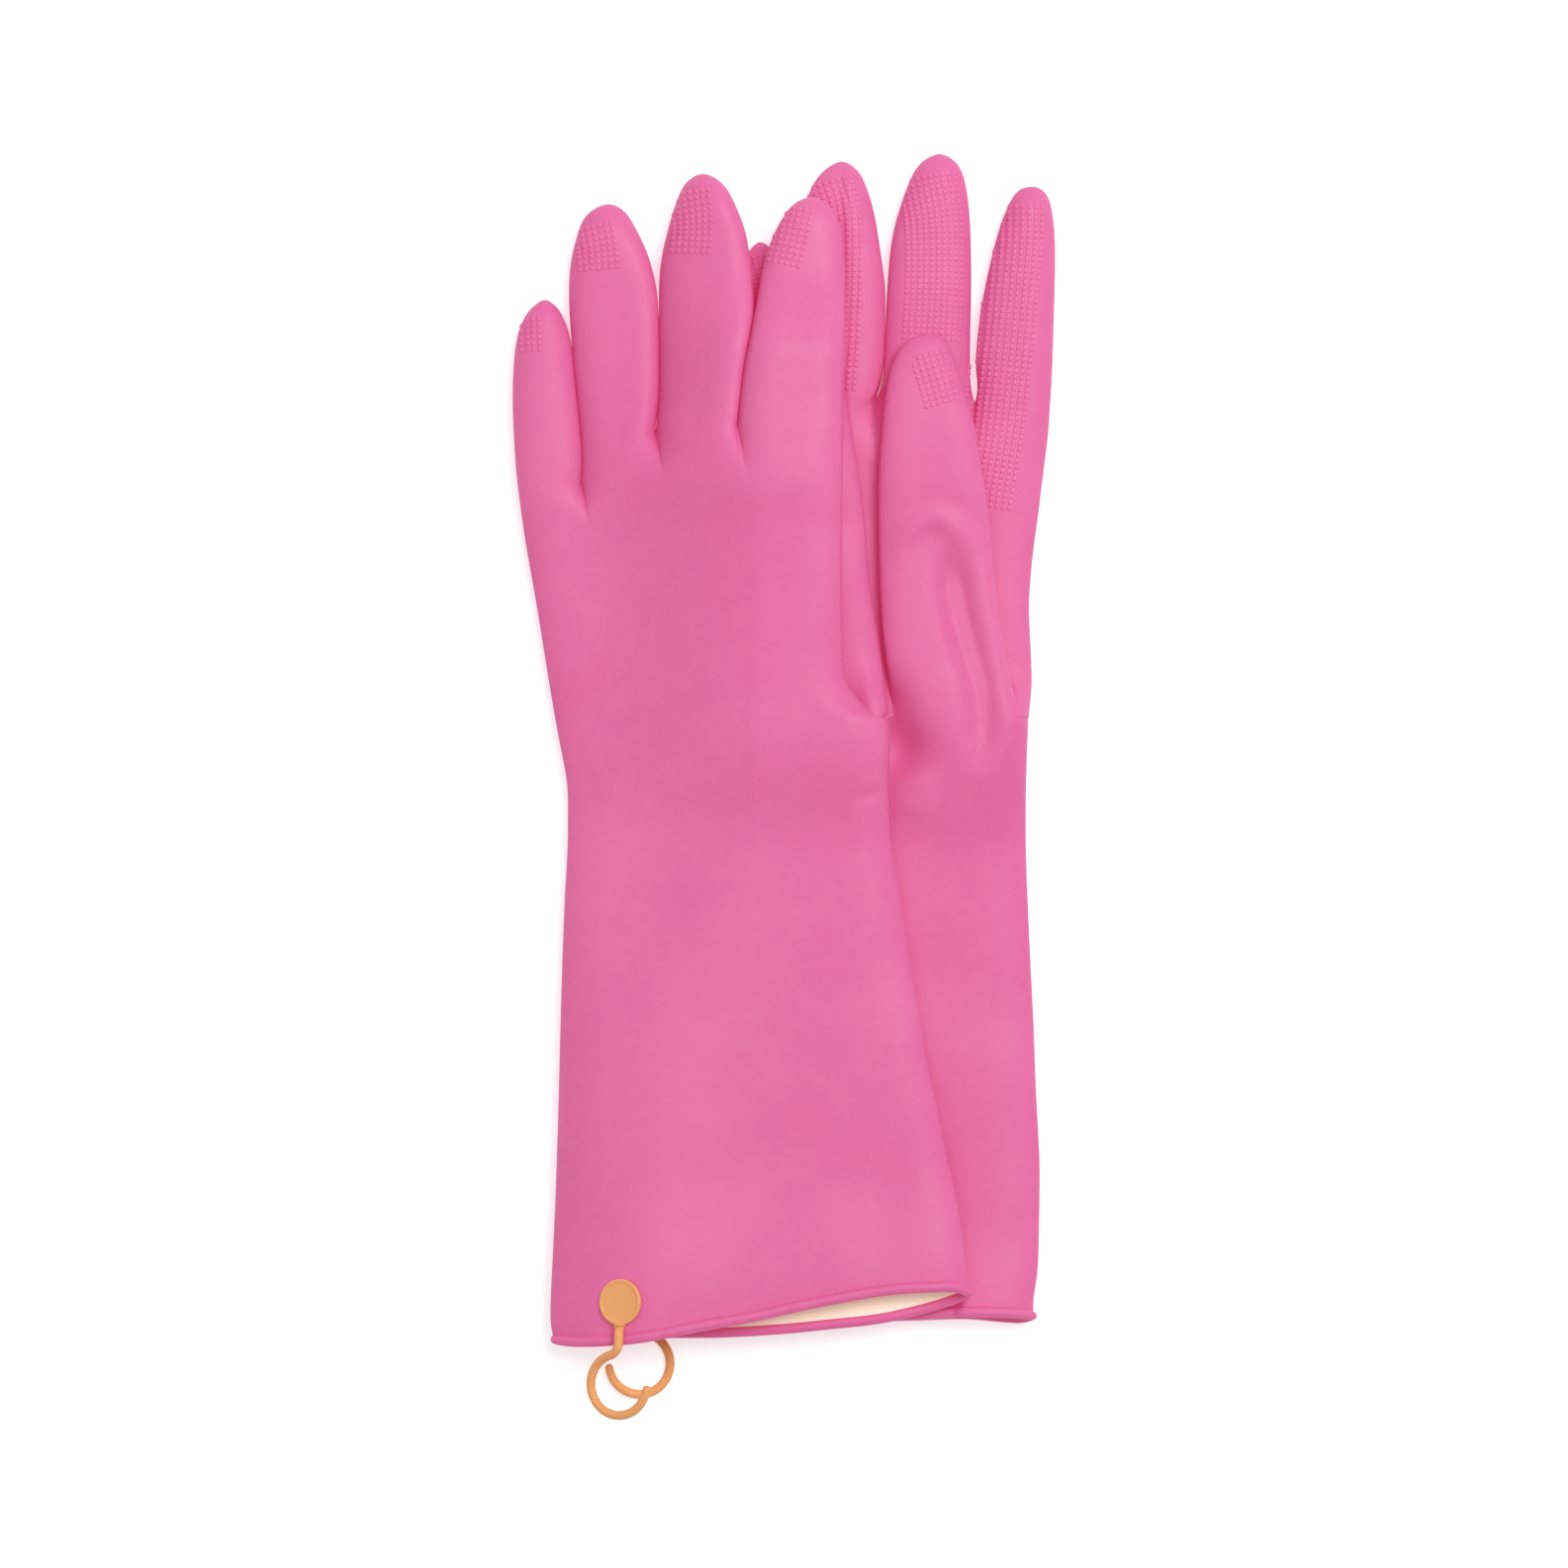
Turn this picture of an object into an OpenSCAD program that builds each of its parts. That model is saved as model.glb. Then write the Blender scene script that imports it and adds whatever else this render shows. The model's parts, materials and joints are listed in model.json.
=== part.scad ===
// Pair of long household rubber gloves, laid flat and stacked palm to palm.
// The left glove lies on top with its back upwards, the right glove lies under it with its palm upwards.
// Each glove is a thin skin with a bonded lining, a rolled rim at the mouth of its cuff, and a moulded
// hanging hook whose round pad is bonded to the back of the cuff near the little-finger side.
// X runs from the little finger to the index finger, Y from the cuff to the fingertips and Z upwards.

/* [Glove] */
// Width of the palm laid flat
palm_w = 106; // [96:1:116]
// Thickness of the coloured outer skin
skin_t = 0.45; // [0.35:0.05:0.6]
// Thickness of the pale inner lining
lining_t = 0.3; // [0.2:0.05:0.4]
// Height of the hand as it lies flat
palm_h = 10; // [9:0.5:11]
// Height of a finger as it lies flat
finger_h = 12; // [11:0.5:12.5]
// Height of the folded-over thumb
thumb_h = 9; // [8:0.5:10]
// Diameter of the rolled rim
rim_d = 3.6; // [3:0.1:4]

/* [Hook] */
// Diameter of the round pad
pad_d = 15; // [13:0.5:16]
// Thickness of the round pad
pad_t = 1.5; // [1.2:0.1:1.8]
// Diameter of the hook's round section
hook_d = 3; // [2.6:0.1:3.2]
// Radius of the open ring, to the middle of its section
hook_r = 10.2; // [9:0.1:11]

/* [Hidden] */

k = palm_w / 106;         // plan scale: every plan coordinate below is for a 106 mm palm
bond = 0.05;              // bond line between skin and lining
seam = 0.5;               // gap at a flex line, so that the two sides can turn
hand_sides = 28;          // corners round the forearm, wrist and palm
finger_sides = 16;        // corners round a finger
rim_sides = 8;            // corners round the rolled rim
hook_sides = 12;          // corners round the hook
skin_colour = [0.91, 0.42, 0.64];
lining_colour = [0.98, 0.88, 0.74];
hook_colour = [0.95, 0.65, 0.40];

// Plan of each glove: its left and right edges as [y, x] pairs, its knuckle line as [x, y] pairs, the four
// fingers, the thumb's edges as [y, left x, right x] and the thumb's tip as [x, y].
// A finger is [base left x, base right x, widest y, left x, right x, tip x, tip y].
left = [
    [[-180, -77], [-140, -75], [-80, -73.7], [-30, -71.4], [-8, -70.7], [4, -71.6], [24, -75.2], [58, -81],
        [92, -86.5], [104, -87.6]],
    [[-165, 60.5], [-140, 57], [-100, 49.4], [-60, 42], [-30, 37], [-12, 34.8], [4, 34.8], [24, 33], [34, 22],
        [50, 19.8], [112, 19.5]],
    [[-88, 97], [-66, 102], [-42, 115], [-15, 117], [21, 117]],
    [
        [-87.6, -67.4, 128, -89.2, -67.9, -79.5, 159.5],
        [-66.4, -42.8, 157, -69.6, -41.2, -58, 191],
        [-41.8, -15.6, 155, -40.2, -10.2, -26.5, 200],
        [-14.6, 19.6, 145, -9.2, 20.8, 9.5, 192]
    ],
    [[22, -5, 33.5], [45, -8, 32], [75, -10, 27.5], [105, -8.5, 24.5]],
    [6.5, 144]
];
right = [
    [[-177, -57], [-140, -51], [-80, -39], [-30, -27], [-8, -24], [4, -24], [24, -22], [58, -18.5], [92, -16.8]],
    [[-172, 83.5], [-140, 84.2], [-100, 83], [-60, 81], [-30, 80.2], [-8, 80], [24, 81.3], [34, 81.5], [58, 80.8],
        [80, 83], [104, 86], [120, 87.6]],
    [[-18, 108], [4, 112], [33, 124], [63, 124], [88, 120]],
    [
        [-16.8, 3.2, 140, -18, 3.6, -7.5, 178.5],
        [4.2, 31.6, 160, 4.6, 32.8, 19, 205],
        [32.6, 61.6, 160, 34, 62.4, 51.5, 207.5],
        [62.8, 87.6, 145, 64, 89, 81, 196.7]
    ],
    [[22, 36, 76], [45, 34, 72.5], [75, 31.5, 69], [105, 32, 64.5]],
    [48, 144]
];
glove_names = ["left", "right"];
finger_names = ["little", "ring", "middle", "index"];

fork_y = 22;              // where the thumb parts from the palm
wrist_y = -2;             // where the forearm meets the wrist
layer_gap = 0.5;          // free height between two layers that lie on each other
mouth_gape = 4.2;         // how far the upper lip of the mouth is drawn back from its middle

function clamp01(t) = min(1, max(0, t));
function ease(t) = let(c = clamp01(t)) c * c * (3 - 2 * c);
function mix(a, b, t) = a + (b - a) * t;
function power(v, e) = sign(v) * pow(abs(v), e);

// ---- Height of the underside of each glove over the table, at a plan point -------------------------------

// Height that the rim of the right glove is raised by, where it rides over its own hook
function right_lift(y) = 2.6 * pow(clamp01((-118 - y) / 56), 2);
// Top of the right glove, which carries the left one
function carried_h(y) = palm_h + layer_gap
    + (finger_h - palm_h) * ease((y - 84) / 14)
    + (5.8 - 0.4) * ease((-122 - y) / 44);
// Left edge of the right glove, where the left glove comes down to the table
function right_edge_x(y) = lookup(y, right[0]);
function left_level(x, y) = carried_h(y) * ease((x - right_edge_x(y) + 28) / 40);
function level(g, x, y) = g == 0 ? left_level(x, y) : right_lift(y);

// Extra height where the thumb is folded over the palm
thumb_side = [[-38, -8], [31, 47]];
function thumb_rise(g, x, y) = (thumb_h + layer_gap)
    * ease((x - thumb_side[g][0]) / (thumb_side[g][1] - thumb_side[g][0]))
    * ease((y + 24) / 46) * (1 - ease((y - 138) / 34));

function arm_h(g, x, y) = palm_h + 0.6 * ease((-60 - y) / 60) + (y < fork_y ? thumb_rise(g, x, y) : 0);
function palm_level(g, x, y) = level(g, x, y) + (g == 0 && y >= fork_y ? thumb_rise(g, x, y) : 0);
function thumb_level(g, x, y) = g == 0 ? left_level(x, y)
    : palm_h + layer_gap + (finger_h - palm_h + 0.2) * ease((y - 84) / 14);

// ---- Rings and shells ------------------------------------------------------------------------------------

// One ring of a shell, drawn in by inset. row(x) is its line in plan, and gape draws its upper half back.
function ring(g, kind, row, xl, xr, h, sides, inset, gape = 0, squareness = 0.85) =
    let(c = (xl + xr) / 2, w = (xr - xl) / 2)
    [for (i = [0:sides - 1])
        let(
            a = 360 * i / sides,
            x = c + (w * k - inset) / k * power(cos(a), squareness),
            y = row(x) + gape * sin(a) * ease((x + 50) / 70),
            under = kind == "thumb" ? thumb_level(g, x, y) : palm_level(g, x, y),
            tall = (kind == "hand" ? arm_h(g, x, y) : h) / 2,
            z = under + tall + (tall - inset) * power(sin(a), squareness)
        )
        [x * k, y * k, max(z, inset)]];

function tube_faces(rows, n, start, inward) = [
    for (i = [0:rows - 2], j = [0:n - 1])
        let(a = start + i * n + j, b = start + i * n + (j + 1) % n)
        each inward ? [[a, b + n, b], [a, a + n, b + n]] : [[a, b, b + n], [a, b + n, a + n]]
];
function rim_faces(n, outer, inner, far_end) = [
    for (j = [0:n - 1])
        let(a = outer + j, b = outer + (j + 1) % n, c = inner + j, d = inner + (j + 1) % n)
        each far_end ? [[a, b, d], [a, d, c]] : [[b, a, c], [b, c, d]]
];
function fan_faces(n, first, pole, inward) = [
    for (j = [0:n - 1]) inward ? [first + j, pole, first + (j + 1) % n] : [first + j, first + (j + 1) % n, pole]
];

// A sleeve open at both ends, from its outer and inner rings
module sleeve(outer, inner) {
    rows = len(outer);
    n = len(outer[0]);
    polyhedron(
        points = [for (r = concat(outer, inner)) each r],
        faces = concat(
            tube_faces(rows, n, 0, false),
            tube_faces(rows, n, rows * n, true),
            rim_faces(n, 0, rows * n, false),
            rim_faces(n, (rows - 1) * n, (2 * rows - 1) * n, true)
        ),
        convexity = 6
    );
}

// A stall: a sleeve closed at its far end, where outer_tip and inner_tip are its two end points
module stall(outer, inner, outer_tip, inner_tip) {
    rows = len(outer);
    n = len(outer[0]);
    polyhedron(
        points = concat([for (r = concat(outer, inner)) each r], [outer_tip, inner_tip]),
        faces = concat(
            tube_faces(rows, n, 0, false),
            tube_faces(rows, n, rows * n, true),
            rim_faces(n, 0, rows * n, false),
            fan_faces(n, (rows - 1) * n, 2 * rows * n, false),
            fan_faces(n, (2 * rows - 1) * n, 2 * rows * n + 1, true)
        ),
        convexity = 6
    );
}

// ---- Forearm, wrist and palm -----------------------------------------------------------------------------

function edge_l(g, y) = lookup(y, glove(g)[0]);
function edge_r(g, y) = lookup(y, glove(g)[1]);
function glove(g) = g == 0 ? left : right;

function hand_ring(g, y, inset, slope = 0, gape = 0) =
    let(
        xl = edge_l(g, y - slope * 50),
        xr = edge_r(g, y + slope * 50)
    )
    ring(g, "hand", function(x) y + slope * (x - (xl + xr) / 2), xl, xr, 0, hand_sides, inset, gape);

// Rows of the forearm: the mouth slopes and gapes, and the slope dies out towards the wrist
mouth_y = [-173, -173.8];
mouth_slope = [0.121, 0.03];
mouth_opens = [mouth_gape, 2];
forearm_rows = [0, 0.05, 0.12, 0.25, 0.42, 0.6, 0.78, 0.92, 1];
function forearm_rings(g, inset) = [
    for (t = forearm_rows)
        let(fade = pow(1 - t, 3))
        hand_ring(g, mix(mouth_y[g], wrist_y - seam, t), inset, mouth_slope[g] * fade,
            mouth_opens[g] * pow(fade, 2))
];

wrist_rows = [0, 0.35, 0.7, 1];
function wrist_rings(g, inset) = [for (t = wrist_rows) hand_ring(g, mix(wrist_y, fork_y - 0.1, t), inset)];

palm_rows = [0, 0.12, 0.3, 0.55, 0.8, 1];
function knuckle_y(g, x) = lookup(x, glove(g)[2]);
// The rows of the palm bend gradually from the straight fork line to the knuckle line
function palm_ring(g, t, inset) =
    let(
        row = function(x) mix(fork_y, knuckle_y(g, x) - seam, t),
        xl = edge_l(g, row(-90 + 72 * g)),
        xr = edge_r(g, row(20 + 68 * g))
    )
    ring(g, "palm", row, xl, xr, palm_h + (finger_h - palm_h) * ease((t - 0.5) * 2), hand_sides, inset);
function palm_rings(g, inset) = [for (t = palm_rows) palm_ring(g, t, inset)];

// ---- Fingers and thumbs ----------------------------------------------------------------------------------

straight_rows = [0, 0.35, 0.7];
tip_angles = [0, 20, 38, 53, 66, 76, 84];

// One ring of a finger on its elliptical end, and one on its straight part
function tip_ring(g, kind, f, h, angle, inset) =
    let(
        s = sin(angle),
        c = mix((f[3] + f[4]) / 2, f[5], s),
        w = (f[4] - f[3]) / 2 * cos(angle),
        y = f[2] + (f[6] - f[2] - inset) * s,
        thick = h * sqrt(1 - pow(s, 5))
    )
    ring(g, kind, function(x) y, c - w, c + w, max(thick, 2.4 * inset + 0.6), finger_sides,
        min(inset, 0.7 * w), 0, 0.95);
function straight_ring(g, f, t, inset) =
    ring(g, "finger", function(x) mix(knuckle_y(g, x), f[2], t), mix(f[0], f[3], t), mix(f[1], f[4], t),
        finger_h, finger_sides, inset, 0, 0.95);

function finger_rings(g, f, inset) = concat(
    [for (t = straight_rows) straight_ring(g, f, t, inset)],
    [for (a = tip_angles) tip_ring(g, "finger", f, finger_h, a, inset)]
);
function tip_point(g, kind, f, inset) =
    let(under = kind == "thumb" ? thumb_level(g, f[5], f[6]) : palm_level(g, f[5], f[6]))
    [f[5] * k, (f[6] - inset * 1.3) * k, under + 0.9];

module finger_stall(g, i, out, in) {
    f = glove(g)[3][i];
    stall(finger_rings(g, f, out), finger_rings(g, f, in), tip_point(g, "finger", f, out),
        tip_point(g, "finger", f, in));
}

// The thumb's elliptical end starts from its last straight row
function thumb_tip(g) = let(e = glove(g)[4][3], p = glove(g)[5]) [0, 0, e[0], e[1], e[2], p[0], p[1]];
function thumb_rings(g, inset) = concat(
    [for (i = [0:2]) let(r = glove(g)[4][i])
        ring(g, "thumb", function(x) r[0], r[1], r[2], thumb_h, finger_sides, inset, 0, 0.95)],
    [for (a = tip_angles) tip_ring(g, "thumb", thumb_tip(g), thumb_h, a, inset)]
);
module thumb_stall(g, out, in) {
    stall(thumb_rings(g, out), thumb_rings(g, in), tip_point(g, "thumb", thumb_tip(g), out),
        tip_point(g, "thumb", thumb_tip(g), in));
}

// ---- Rolled rim ------------------------------------------------------------------------------------------

rim_drop = rim_d / 2 + 0.1;   // the roll hangs just clear of the end of the wall
module rolled_rim(g) {
    path = hand_ring(g, mouth_y[g], skin_t, mouth_slope[g], mouth_opens[g]);
    n = len(path);
    points = [
        for (i = [0:n - 1])
            let(
                ahead = path[(i + 1) % n] - path[(i + n - 1) % n],
                out = [ahead[2], 0, -ahead[0]] / norm([ahead[0], ahead[2]])
            )
            for (j = [0:rim_sides - 1])
                let(a = 360 * j / rim_sides)
                path[i] + [0, -rim_drop, 0] + rim_d / 2 * (cos(a) * out + sin(a) * [0, 1, 0])
    ];
    polyhedron(
        points = points,
        faces = [
            for (i = [0:n - 1], j = [0:rim_sides - 1])
                let(
                    a = i * rim_sides + j,
                    b = i * rim_sides + (j + 1) % rim_sides,
                    c = ((i + 1) % n) * rim_sides + j,
                    d = ((i + 1) % n) * rim_sides + (j + 1) % rim_sides
                )
                each [[a, b, d], [a, d, c]]
        ],
        convexity = 8
    );
}

// ---- Hanging hook ----------------------------------------------------------------------------------------

// The hook is one flat moulding. It is drawn about the pad's centre, with the free end of the ring curling to
// the left on the right glove and to the right on the left glove, and it lies in the plane of the pad.
pad_at = [[-53, -168], [-47, -163.4]];
curl = [1, -1];
pad_reach = 26.8;         // from the pad's centre to the ring's centre
bend_r = 4.5;             // radius of the bend below the neck
join_angle = 110;         // where the bend runs into the ring
end_angle = 352;          // where the ring ends
neck_gap = 0.7;           // flex gap between the pad and the neck
side = [1, -1];           // the pad lies on the upper wall of the left glove and under the right glove

// Height of the upper (s = 1) or lower (s = -1) wall of the forearm at a plan point
function wall_z(g, s, x, y) =
    let(
        c = (edge_l(g, y) + edge_r(g, y)) / 2,
        w = (edge_r(g, y) - edge_l(g, y)) / 2,
        u = min(1, abs(x - c) / w)
    )
    level(g, x, y) + arm_h(g, x, y) / 2 * (1 + s * pow(1 - pow(u, 2 / 0.85), 0.425));
function wall_slope(g) =
    let(x = pad_at[g][0], y = pad_at[g][1], s = side[g], r = pad_d * 0.4)
    [wall_z(g, s, x + r, y) - wall_z(g, s, x - r, y), wall_z(g, s, x, y + r) - wall_z(g, s, x, y - r)] / 2 / r;
// How far the wall stands out of the pad's plane inside the pad's outline
function wall_bulge(g) =
    let(x = pad_at[g][0], y = pad_at[g][1], s = side[g], m = wall_slope(g), r = pad_d * 0.46)
    max([for (a = [0:45:315]) s * (wall_z(g, s, x + r * cos(a), y + r * sin(a)) - wall_z(g, s, x, y))
        - s * r * (m[0] * cos(a) + m[1] * sin(a))]);
function pad_centre(g) =
    let(x = pad_at[g][0], y = pad_at[g][1])
    [x * k, y * k, wall_z(g, side[g], x, y) + side[g] * (pad_t / 2 + max(0, wall_bulge(g)) + 0.1)];
function lean(g) = [1, 0, wall_slope(g)[0]] / norm([1, wall_slope(g)[0]]);
function reach(g) = [0, 1, wall_slope(g)[1]] / norm([1, wall_slope(g)[1]]);

join_x = hook_r * cos(join_angle) + bend_r * (1 - cos(180 - join_angle));
bend_y = hook_r * sin(join_angle) + bend_r * sin(180 - join_angle);
neck_y = pad_reach - pad_d / 2 - neck_gap;
neck_share = 0.12;
bend_share = 0.22;
// Centreline in the plane of the pad, about the ring's centre, at t from 0 at the pad to 1 at the free end
function plan_point(t) =
    t < neck_share ? [join_x, mix(neck_y, bend_y, t / neck_share)]
    : t < bend_share
        ? let(a = -(180 - join_angle) * (t - neck_share) / (bend_share - neck_share))
          [join_x - bend_r + bend_r * cos(a), bend_y + bend_r * sin(a)]
    : let(a = mix(join_angle, end_angle, (t - bend_share) / (1 - bend_share))) hook_r * [cos(a), sin(a)];

step_over = [2.7, 2.6];   // how far the neck steps over the rolled rim
droop = [4, 3];           // how far the ring has sagged out of the plane of the pad
function hook_point(g, t) =
    let(
        p = plan_point(t) - [join_x, pad_reach],
        over = step_over[g] * ease(t / 0.05) * (1 - 0.6 * ease((t - 0.14) / 0.2)),
        off = side[g] * over - droop[g] * ease((t - 0.1) / 0.5),
        at = pad_centre(g) + curl[g] * p[0] * lean(g) + p[1] * reach(g) + [0, 0, off]
    )
    [at[0], at[1], max(at[2], hook_d / 2)];

hook_rows = 28;
module hook_arm(g) {
    path = [for (i = [0:hook_rows]) hook_point(g, i / hook_rows)];
    n = hook_sides;
    points = [
        for (i = [0:hook_rows])
            let(
                way = path[min(i + 1, hook_rows)] - path[max(i - 1, 0)],
                ahead = i == 0 ? [way[0], way[1], 0] : way,
                across = [ahead[1], -ahead[0], 0] / norm([ahead[0], ahead[1]]),
                up = cross(across, ahead / norm(ahead))
            )
            for (j = [0:n - 1])
                let(a = 360 * j / n)
                path[i] + hook_d / 2 * (i == 0 ? 0.48 : 1) * (cos(a) * across + sin(a) * up)
    ];
    last = hook_rows * n;
    tip = path[hook_rows] + (path[hook_rows] - path[hook_rows - 1]) * 0.45;
    polyhedron(
        points = concat(points, [path[0], tip]),
        faces = concat(
            tube_faces(hook_rows + 1, n, 0, false),
            fan_faces(n, last, len(points) + 1, false),
            [for (j = [0:n - 1]) [(j + 1) % n, j, len(points)]]
        ),
        convexity = 8
    );
}

module hook_pad(g) {
    edge = 0.4;
    translate(pad_centre(g))
        rotate([atan(wall_slope(g)[1]), -atan(wall_slope(g)[0]), 0])
            rotate_extrude($fn = 40)
                polygon([[0, -pad_t / 2], [pad_d / 2 - edge, -pad_t / 2], [pad_d / 2, -pad_t / 2 + edge],
                    [pad_d / 2, pad_t / 2 - edge], [pad_d / 2 - edge, pad_t / 2], [0, pad_t / 2]]);
}

// ---- Nodes -----------------------------------------------------------------------------------------------

lining_out = skin_t + bond;
lining_in = skin_t + bond + lining_t;

// The part's origin is under the middle of its outline, on the table
home = [0.2 * k, 0.6 * k, 0];
module piece(colour) { color(colour) translate(-home) children(); }

module forearm(g) { piece(skin_colour) sleeve(forearm_rings(g, 0), forearm_rings(g, skin_t)); }
module wrist(g) { piece(skin_colour) sleeve(wrist_rings(g, 0), wrist_rings(g, skin_t)); }
module palm(g) { piece(skin_colour) sleeve(palm_rings(g, 0), palm_rings(g, skin_t)); }
module thumb(g) { piece(skin_colour) thumb_stall(g, 0, skin_t); }
module finger(g, i) { piece(skin_colour) finger_stall(g, i, 0, skin_t); }
module forearm_lining(g) {
    piece(lining_colour) sleeve(forearm_rings(g, lining_out), forearm_rings(g, lining_in));
}
module wrist_lining(g) { piece(lining_colour) sleeve(wrist_rings(g, lining_out), wrist_rings(g, lining_in)); }
module palm_lining(g) { piece(lining_colour) sleeve(palm_rings(g, lining_out), palm_rings(g, lining_in)); }
module thumb_lining(g) { piece(lining_colour) thumb_stall(g, lining_out, lining_in); }
module finger_lining(g, i) { piece(lining_colour) finger_stall(g, i, lining_out, lining_in); }
module rim(g) { piece(skin_colour) rolled_rim(g); }
module pad(g) { piece(hook_colour) hook_pad(g); }
module arm(g) { piece(hook_colour) hook_arm(g); }

for (g = [0, 1]) {
    forearm(g);
    wrist(g);
    palm(g);
    thumb(g);
    forearm_lining(g);
    wrist_lining(g);
    palm_lining(g);
    thumb_lining(g);
    for (i = [0:3]) {
        finger(g, i);
        finger_lining(g, i);
    }
    rim(g);
    pad(g);
    arm(g);
}
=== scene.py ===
import json
import math

import bmesh
import bpy
import numpy as np
from mathutils import Vector
from mathutils.bvhtree import BVHTree
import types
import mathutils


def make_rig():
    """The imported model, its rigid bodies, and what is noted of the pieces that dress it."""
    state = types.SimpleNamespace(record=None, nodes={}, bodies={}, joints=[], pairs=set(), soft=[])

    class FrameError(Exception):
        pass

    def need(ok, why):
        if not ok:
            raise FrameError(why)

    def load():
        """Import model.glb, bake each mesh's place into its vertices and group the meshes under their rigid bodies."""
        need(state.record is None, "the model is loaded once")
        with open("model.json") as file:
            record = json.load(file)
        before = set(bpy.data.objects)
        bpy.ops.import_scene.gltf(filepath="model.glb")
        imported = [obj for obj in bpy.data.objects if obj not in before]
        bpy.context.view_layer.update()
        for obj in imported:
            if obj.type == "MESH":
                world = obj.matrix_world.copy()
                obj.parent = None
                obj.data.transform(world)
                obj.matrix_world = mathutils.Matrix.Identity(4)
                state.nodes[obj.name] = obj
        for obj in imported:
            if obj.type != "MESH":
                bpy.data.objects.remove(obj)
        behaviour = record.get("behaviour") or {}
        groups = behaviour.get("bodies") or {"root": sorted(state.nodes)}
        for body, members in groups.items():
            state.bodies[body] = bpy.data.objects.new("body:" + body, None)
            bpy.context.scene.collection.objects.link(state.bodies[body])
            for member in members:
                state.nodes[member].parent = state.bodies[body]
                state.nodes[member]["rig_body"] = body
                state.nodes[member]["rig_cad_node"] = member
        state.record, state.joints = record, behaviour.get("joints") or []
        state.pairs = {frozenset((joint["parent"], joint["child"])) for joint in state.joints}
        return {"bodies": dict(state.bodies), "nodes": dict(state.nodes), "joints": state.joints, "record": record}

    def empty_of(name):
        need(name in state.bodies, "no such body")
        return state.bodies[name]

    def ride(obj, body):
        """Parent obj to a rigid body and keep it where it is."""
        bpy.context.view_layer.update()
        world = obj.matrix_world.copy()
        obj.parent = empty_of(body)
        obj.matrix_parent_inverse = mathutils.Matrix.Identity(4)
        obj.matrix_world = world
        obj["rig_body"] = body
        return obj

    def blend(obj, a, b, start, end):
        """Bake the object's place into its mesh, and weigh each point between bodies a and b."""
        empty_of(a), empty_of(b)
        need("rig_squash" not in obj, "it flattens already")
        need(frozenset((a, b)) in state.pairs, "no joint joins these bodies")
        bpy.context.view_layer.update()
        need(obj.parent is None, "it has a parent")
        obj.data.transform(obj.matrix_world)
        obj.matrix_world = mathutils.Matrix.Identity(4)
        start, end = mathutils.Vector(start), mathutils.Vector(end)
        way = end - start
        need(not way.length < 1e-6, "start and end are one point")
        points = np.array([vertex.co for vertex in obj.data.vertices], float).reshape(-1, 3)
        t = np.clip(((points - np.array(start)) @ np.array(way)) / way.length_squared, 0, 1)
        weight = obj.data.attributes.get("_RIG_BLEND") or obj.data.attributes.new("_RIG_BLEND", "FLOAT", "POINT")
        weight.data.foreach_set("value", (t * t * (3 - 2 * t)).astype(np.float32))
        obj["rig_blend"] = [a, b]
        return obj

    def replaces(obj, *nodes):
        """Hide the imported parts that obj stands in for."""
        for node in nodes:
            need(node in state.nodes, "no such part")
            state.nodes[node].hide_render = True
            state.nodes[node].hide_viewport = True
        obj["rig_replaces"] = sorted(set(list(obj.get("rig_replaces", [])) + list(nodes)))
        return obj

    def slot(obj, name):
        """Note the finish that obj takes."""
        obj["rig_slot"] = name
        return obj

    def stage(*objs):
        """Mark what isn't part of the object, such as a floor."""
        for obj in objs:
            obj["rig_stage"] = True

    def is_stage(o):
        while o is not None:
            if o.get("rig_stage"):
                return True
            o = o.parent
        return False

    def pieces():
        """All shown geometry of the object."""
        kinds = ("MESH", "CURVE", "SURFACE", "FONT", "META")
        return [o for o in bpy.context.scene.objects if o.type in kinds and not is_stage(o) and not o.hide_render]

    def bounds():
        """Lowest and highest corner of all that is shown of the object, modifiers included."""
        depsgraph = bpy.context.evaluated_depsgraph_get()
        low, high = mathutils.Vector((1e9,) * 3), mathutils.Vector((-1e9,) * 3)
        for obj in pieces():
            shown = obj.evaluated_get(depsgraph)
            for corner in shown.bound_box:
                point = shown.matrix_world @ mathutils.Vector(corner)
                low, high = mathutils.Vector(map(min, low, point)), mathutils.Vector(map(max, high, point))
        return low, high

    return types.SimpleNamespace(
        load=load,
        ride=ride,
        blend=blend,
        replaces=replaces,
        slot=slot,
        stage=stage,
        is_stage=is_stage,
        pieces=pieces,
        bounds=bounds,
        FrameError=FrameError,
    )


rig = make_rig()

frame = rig.load()
cad_low, cad_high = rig.bounds()

MM = 0.001
# The outlines below are drawn in millimetres about a drawing origin that is tied to the CAD model's corner.
DRAWING_CORNER = np.array([-89.2, -206.35, 0.0])
SHIFT = np.array(cad_low) / MM - DRAWING_CORNER

FINGERS = ("little", "ring", "middle", "index")
PER_FINGER = 12                     # columns across one finger
COLUMNS = PER_FINGER * 4            # columns across the hand
THUMB_FROM = 28                     # column where the thumb stall begins
FORK_Y = 22.0                       # where the thumb stall parts from the palm

ARM_TALL, FINGER_TALL, THUMB_TALL = 10.0, 12.0, 9.0     # how high each part lies with its air inside
LAYER_GAP = 0.5                     # between two layers that lie on each other
SEAM_INSET = 0.3                    # how far the fork's seam lies inside the layer gap

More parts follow.
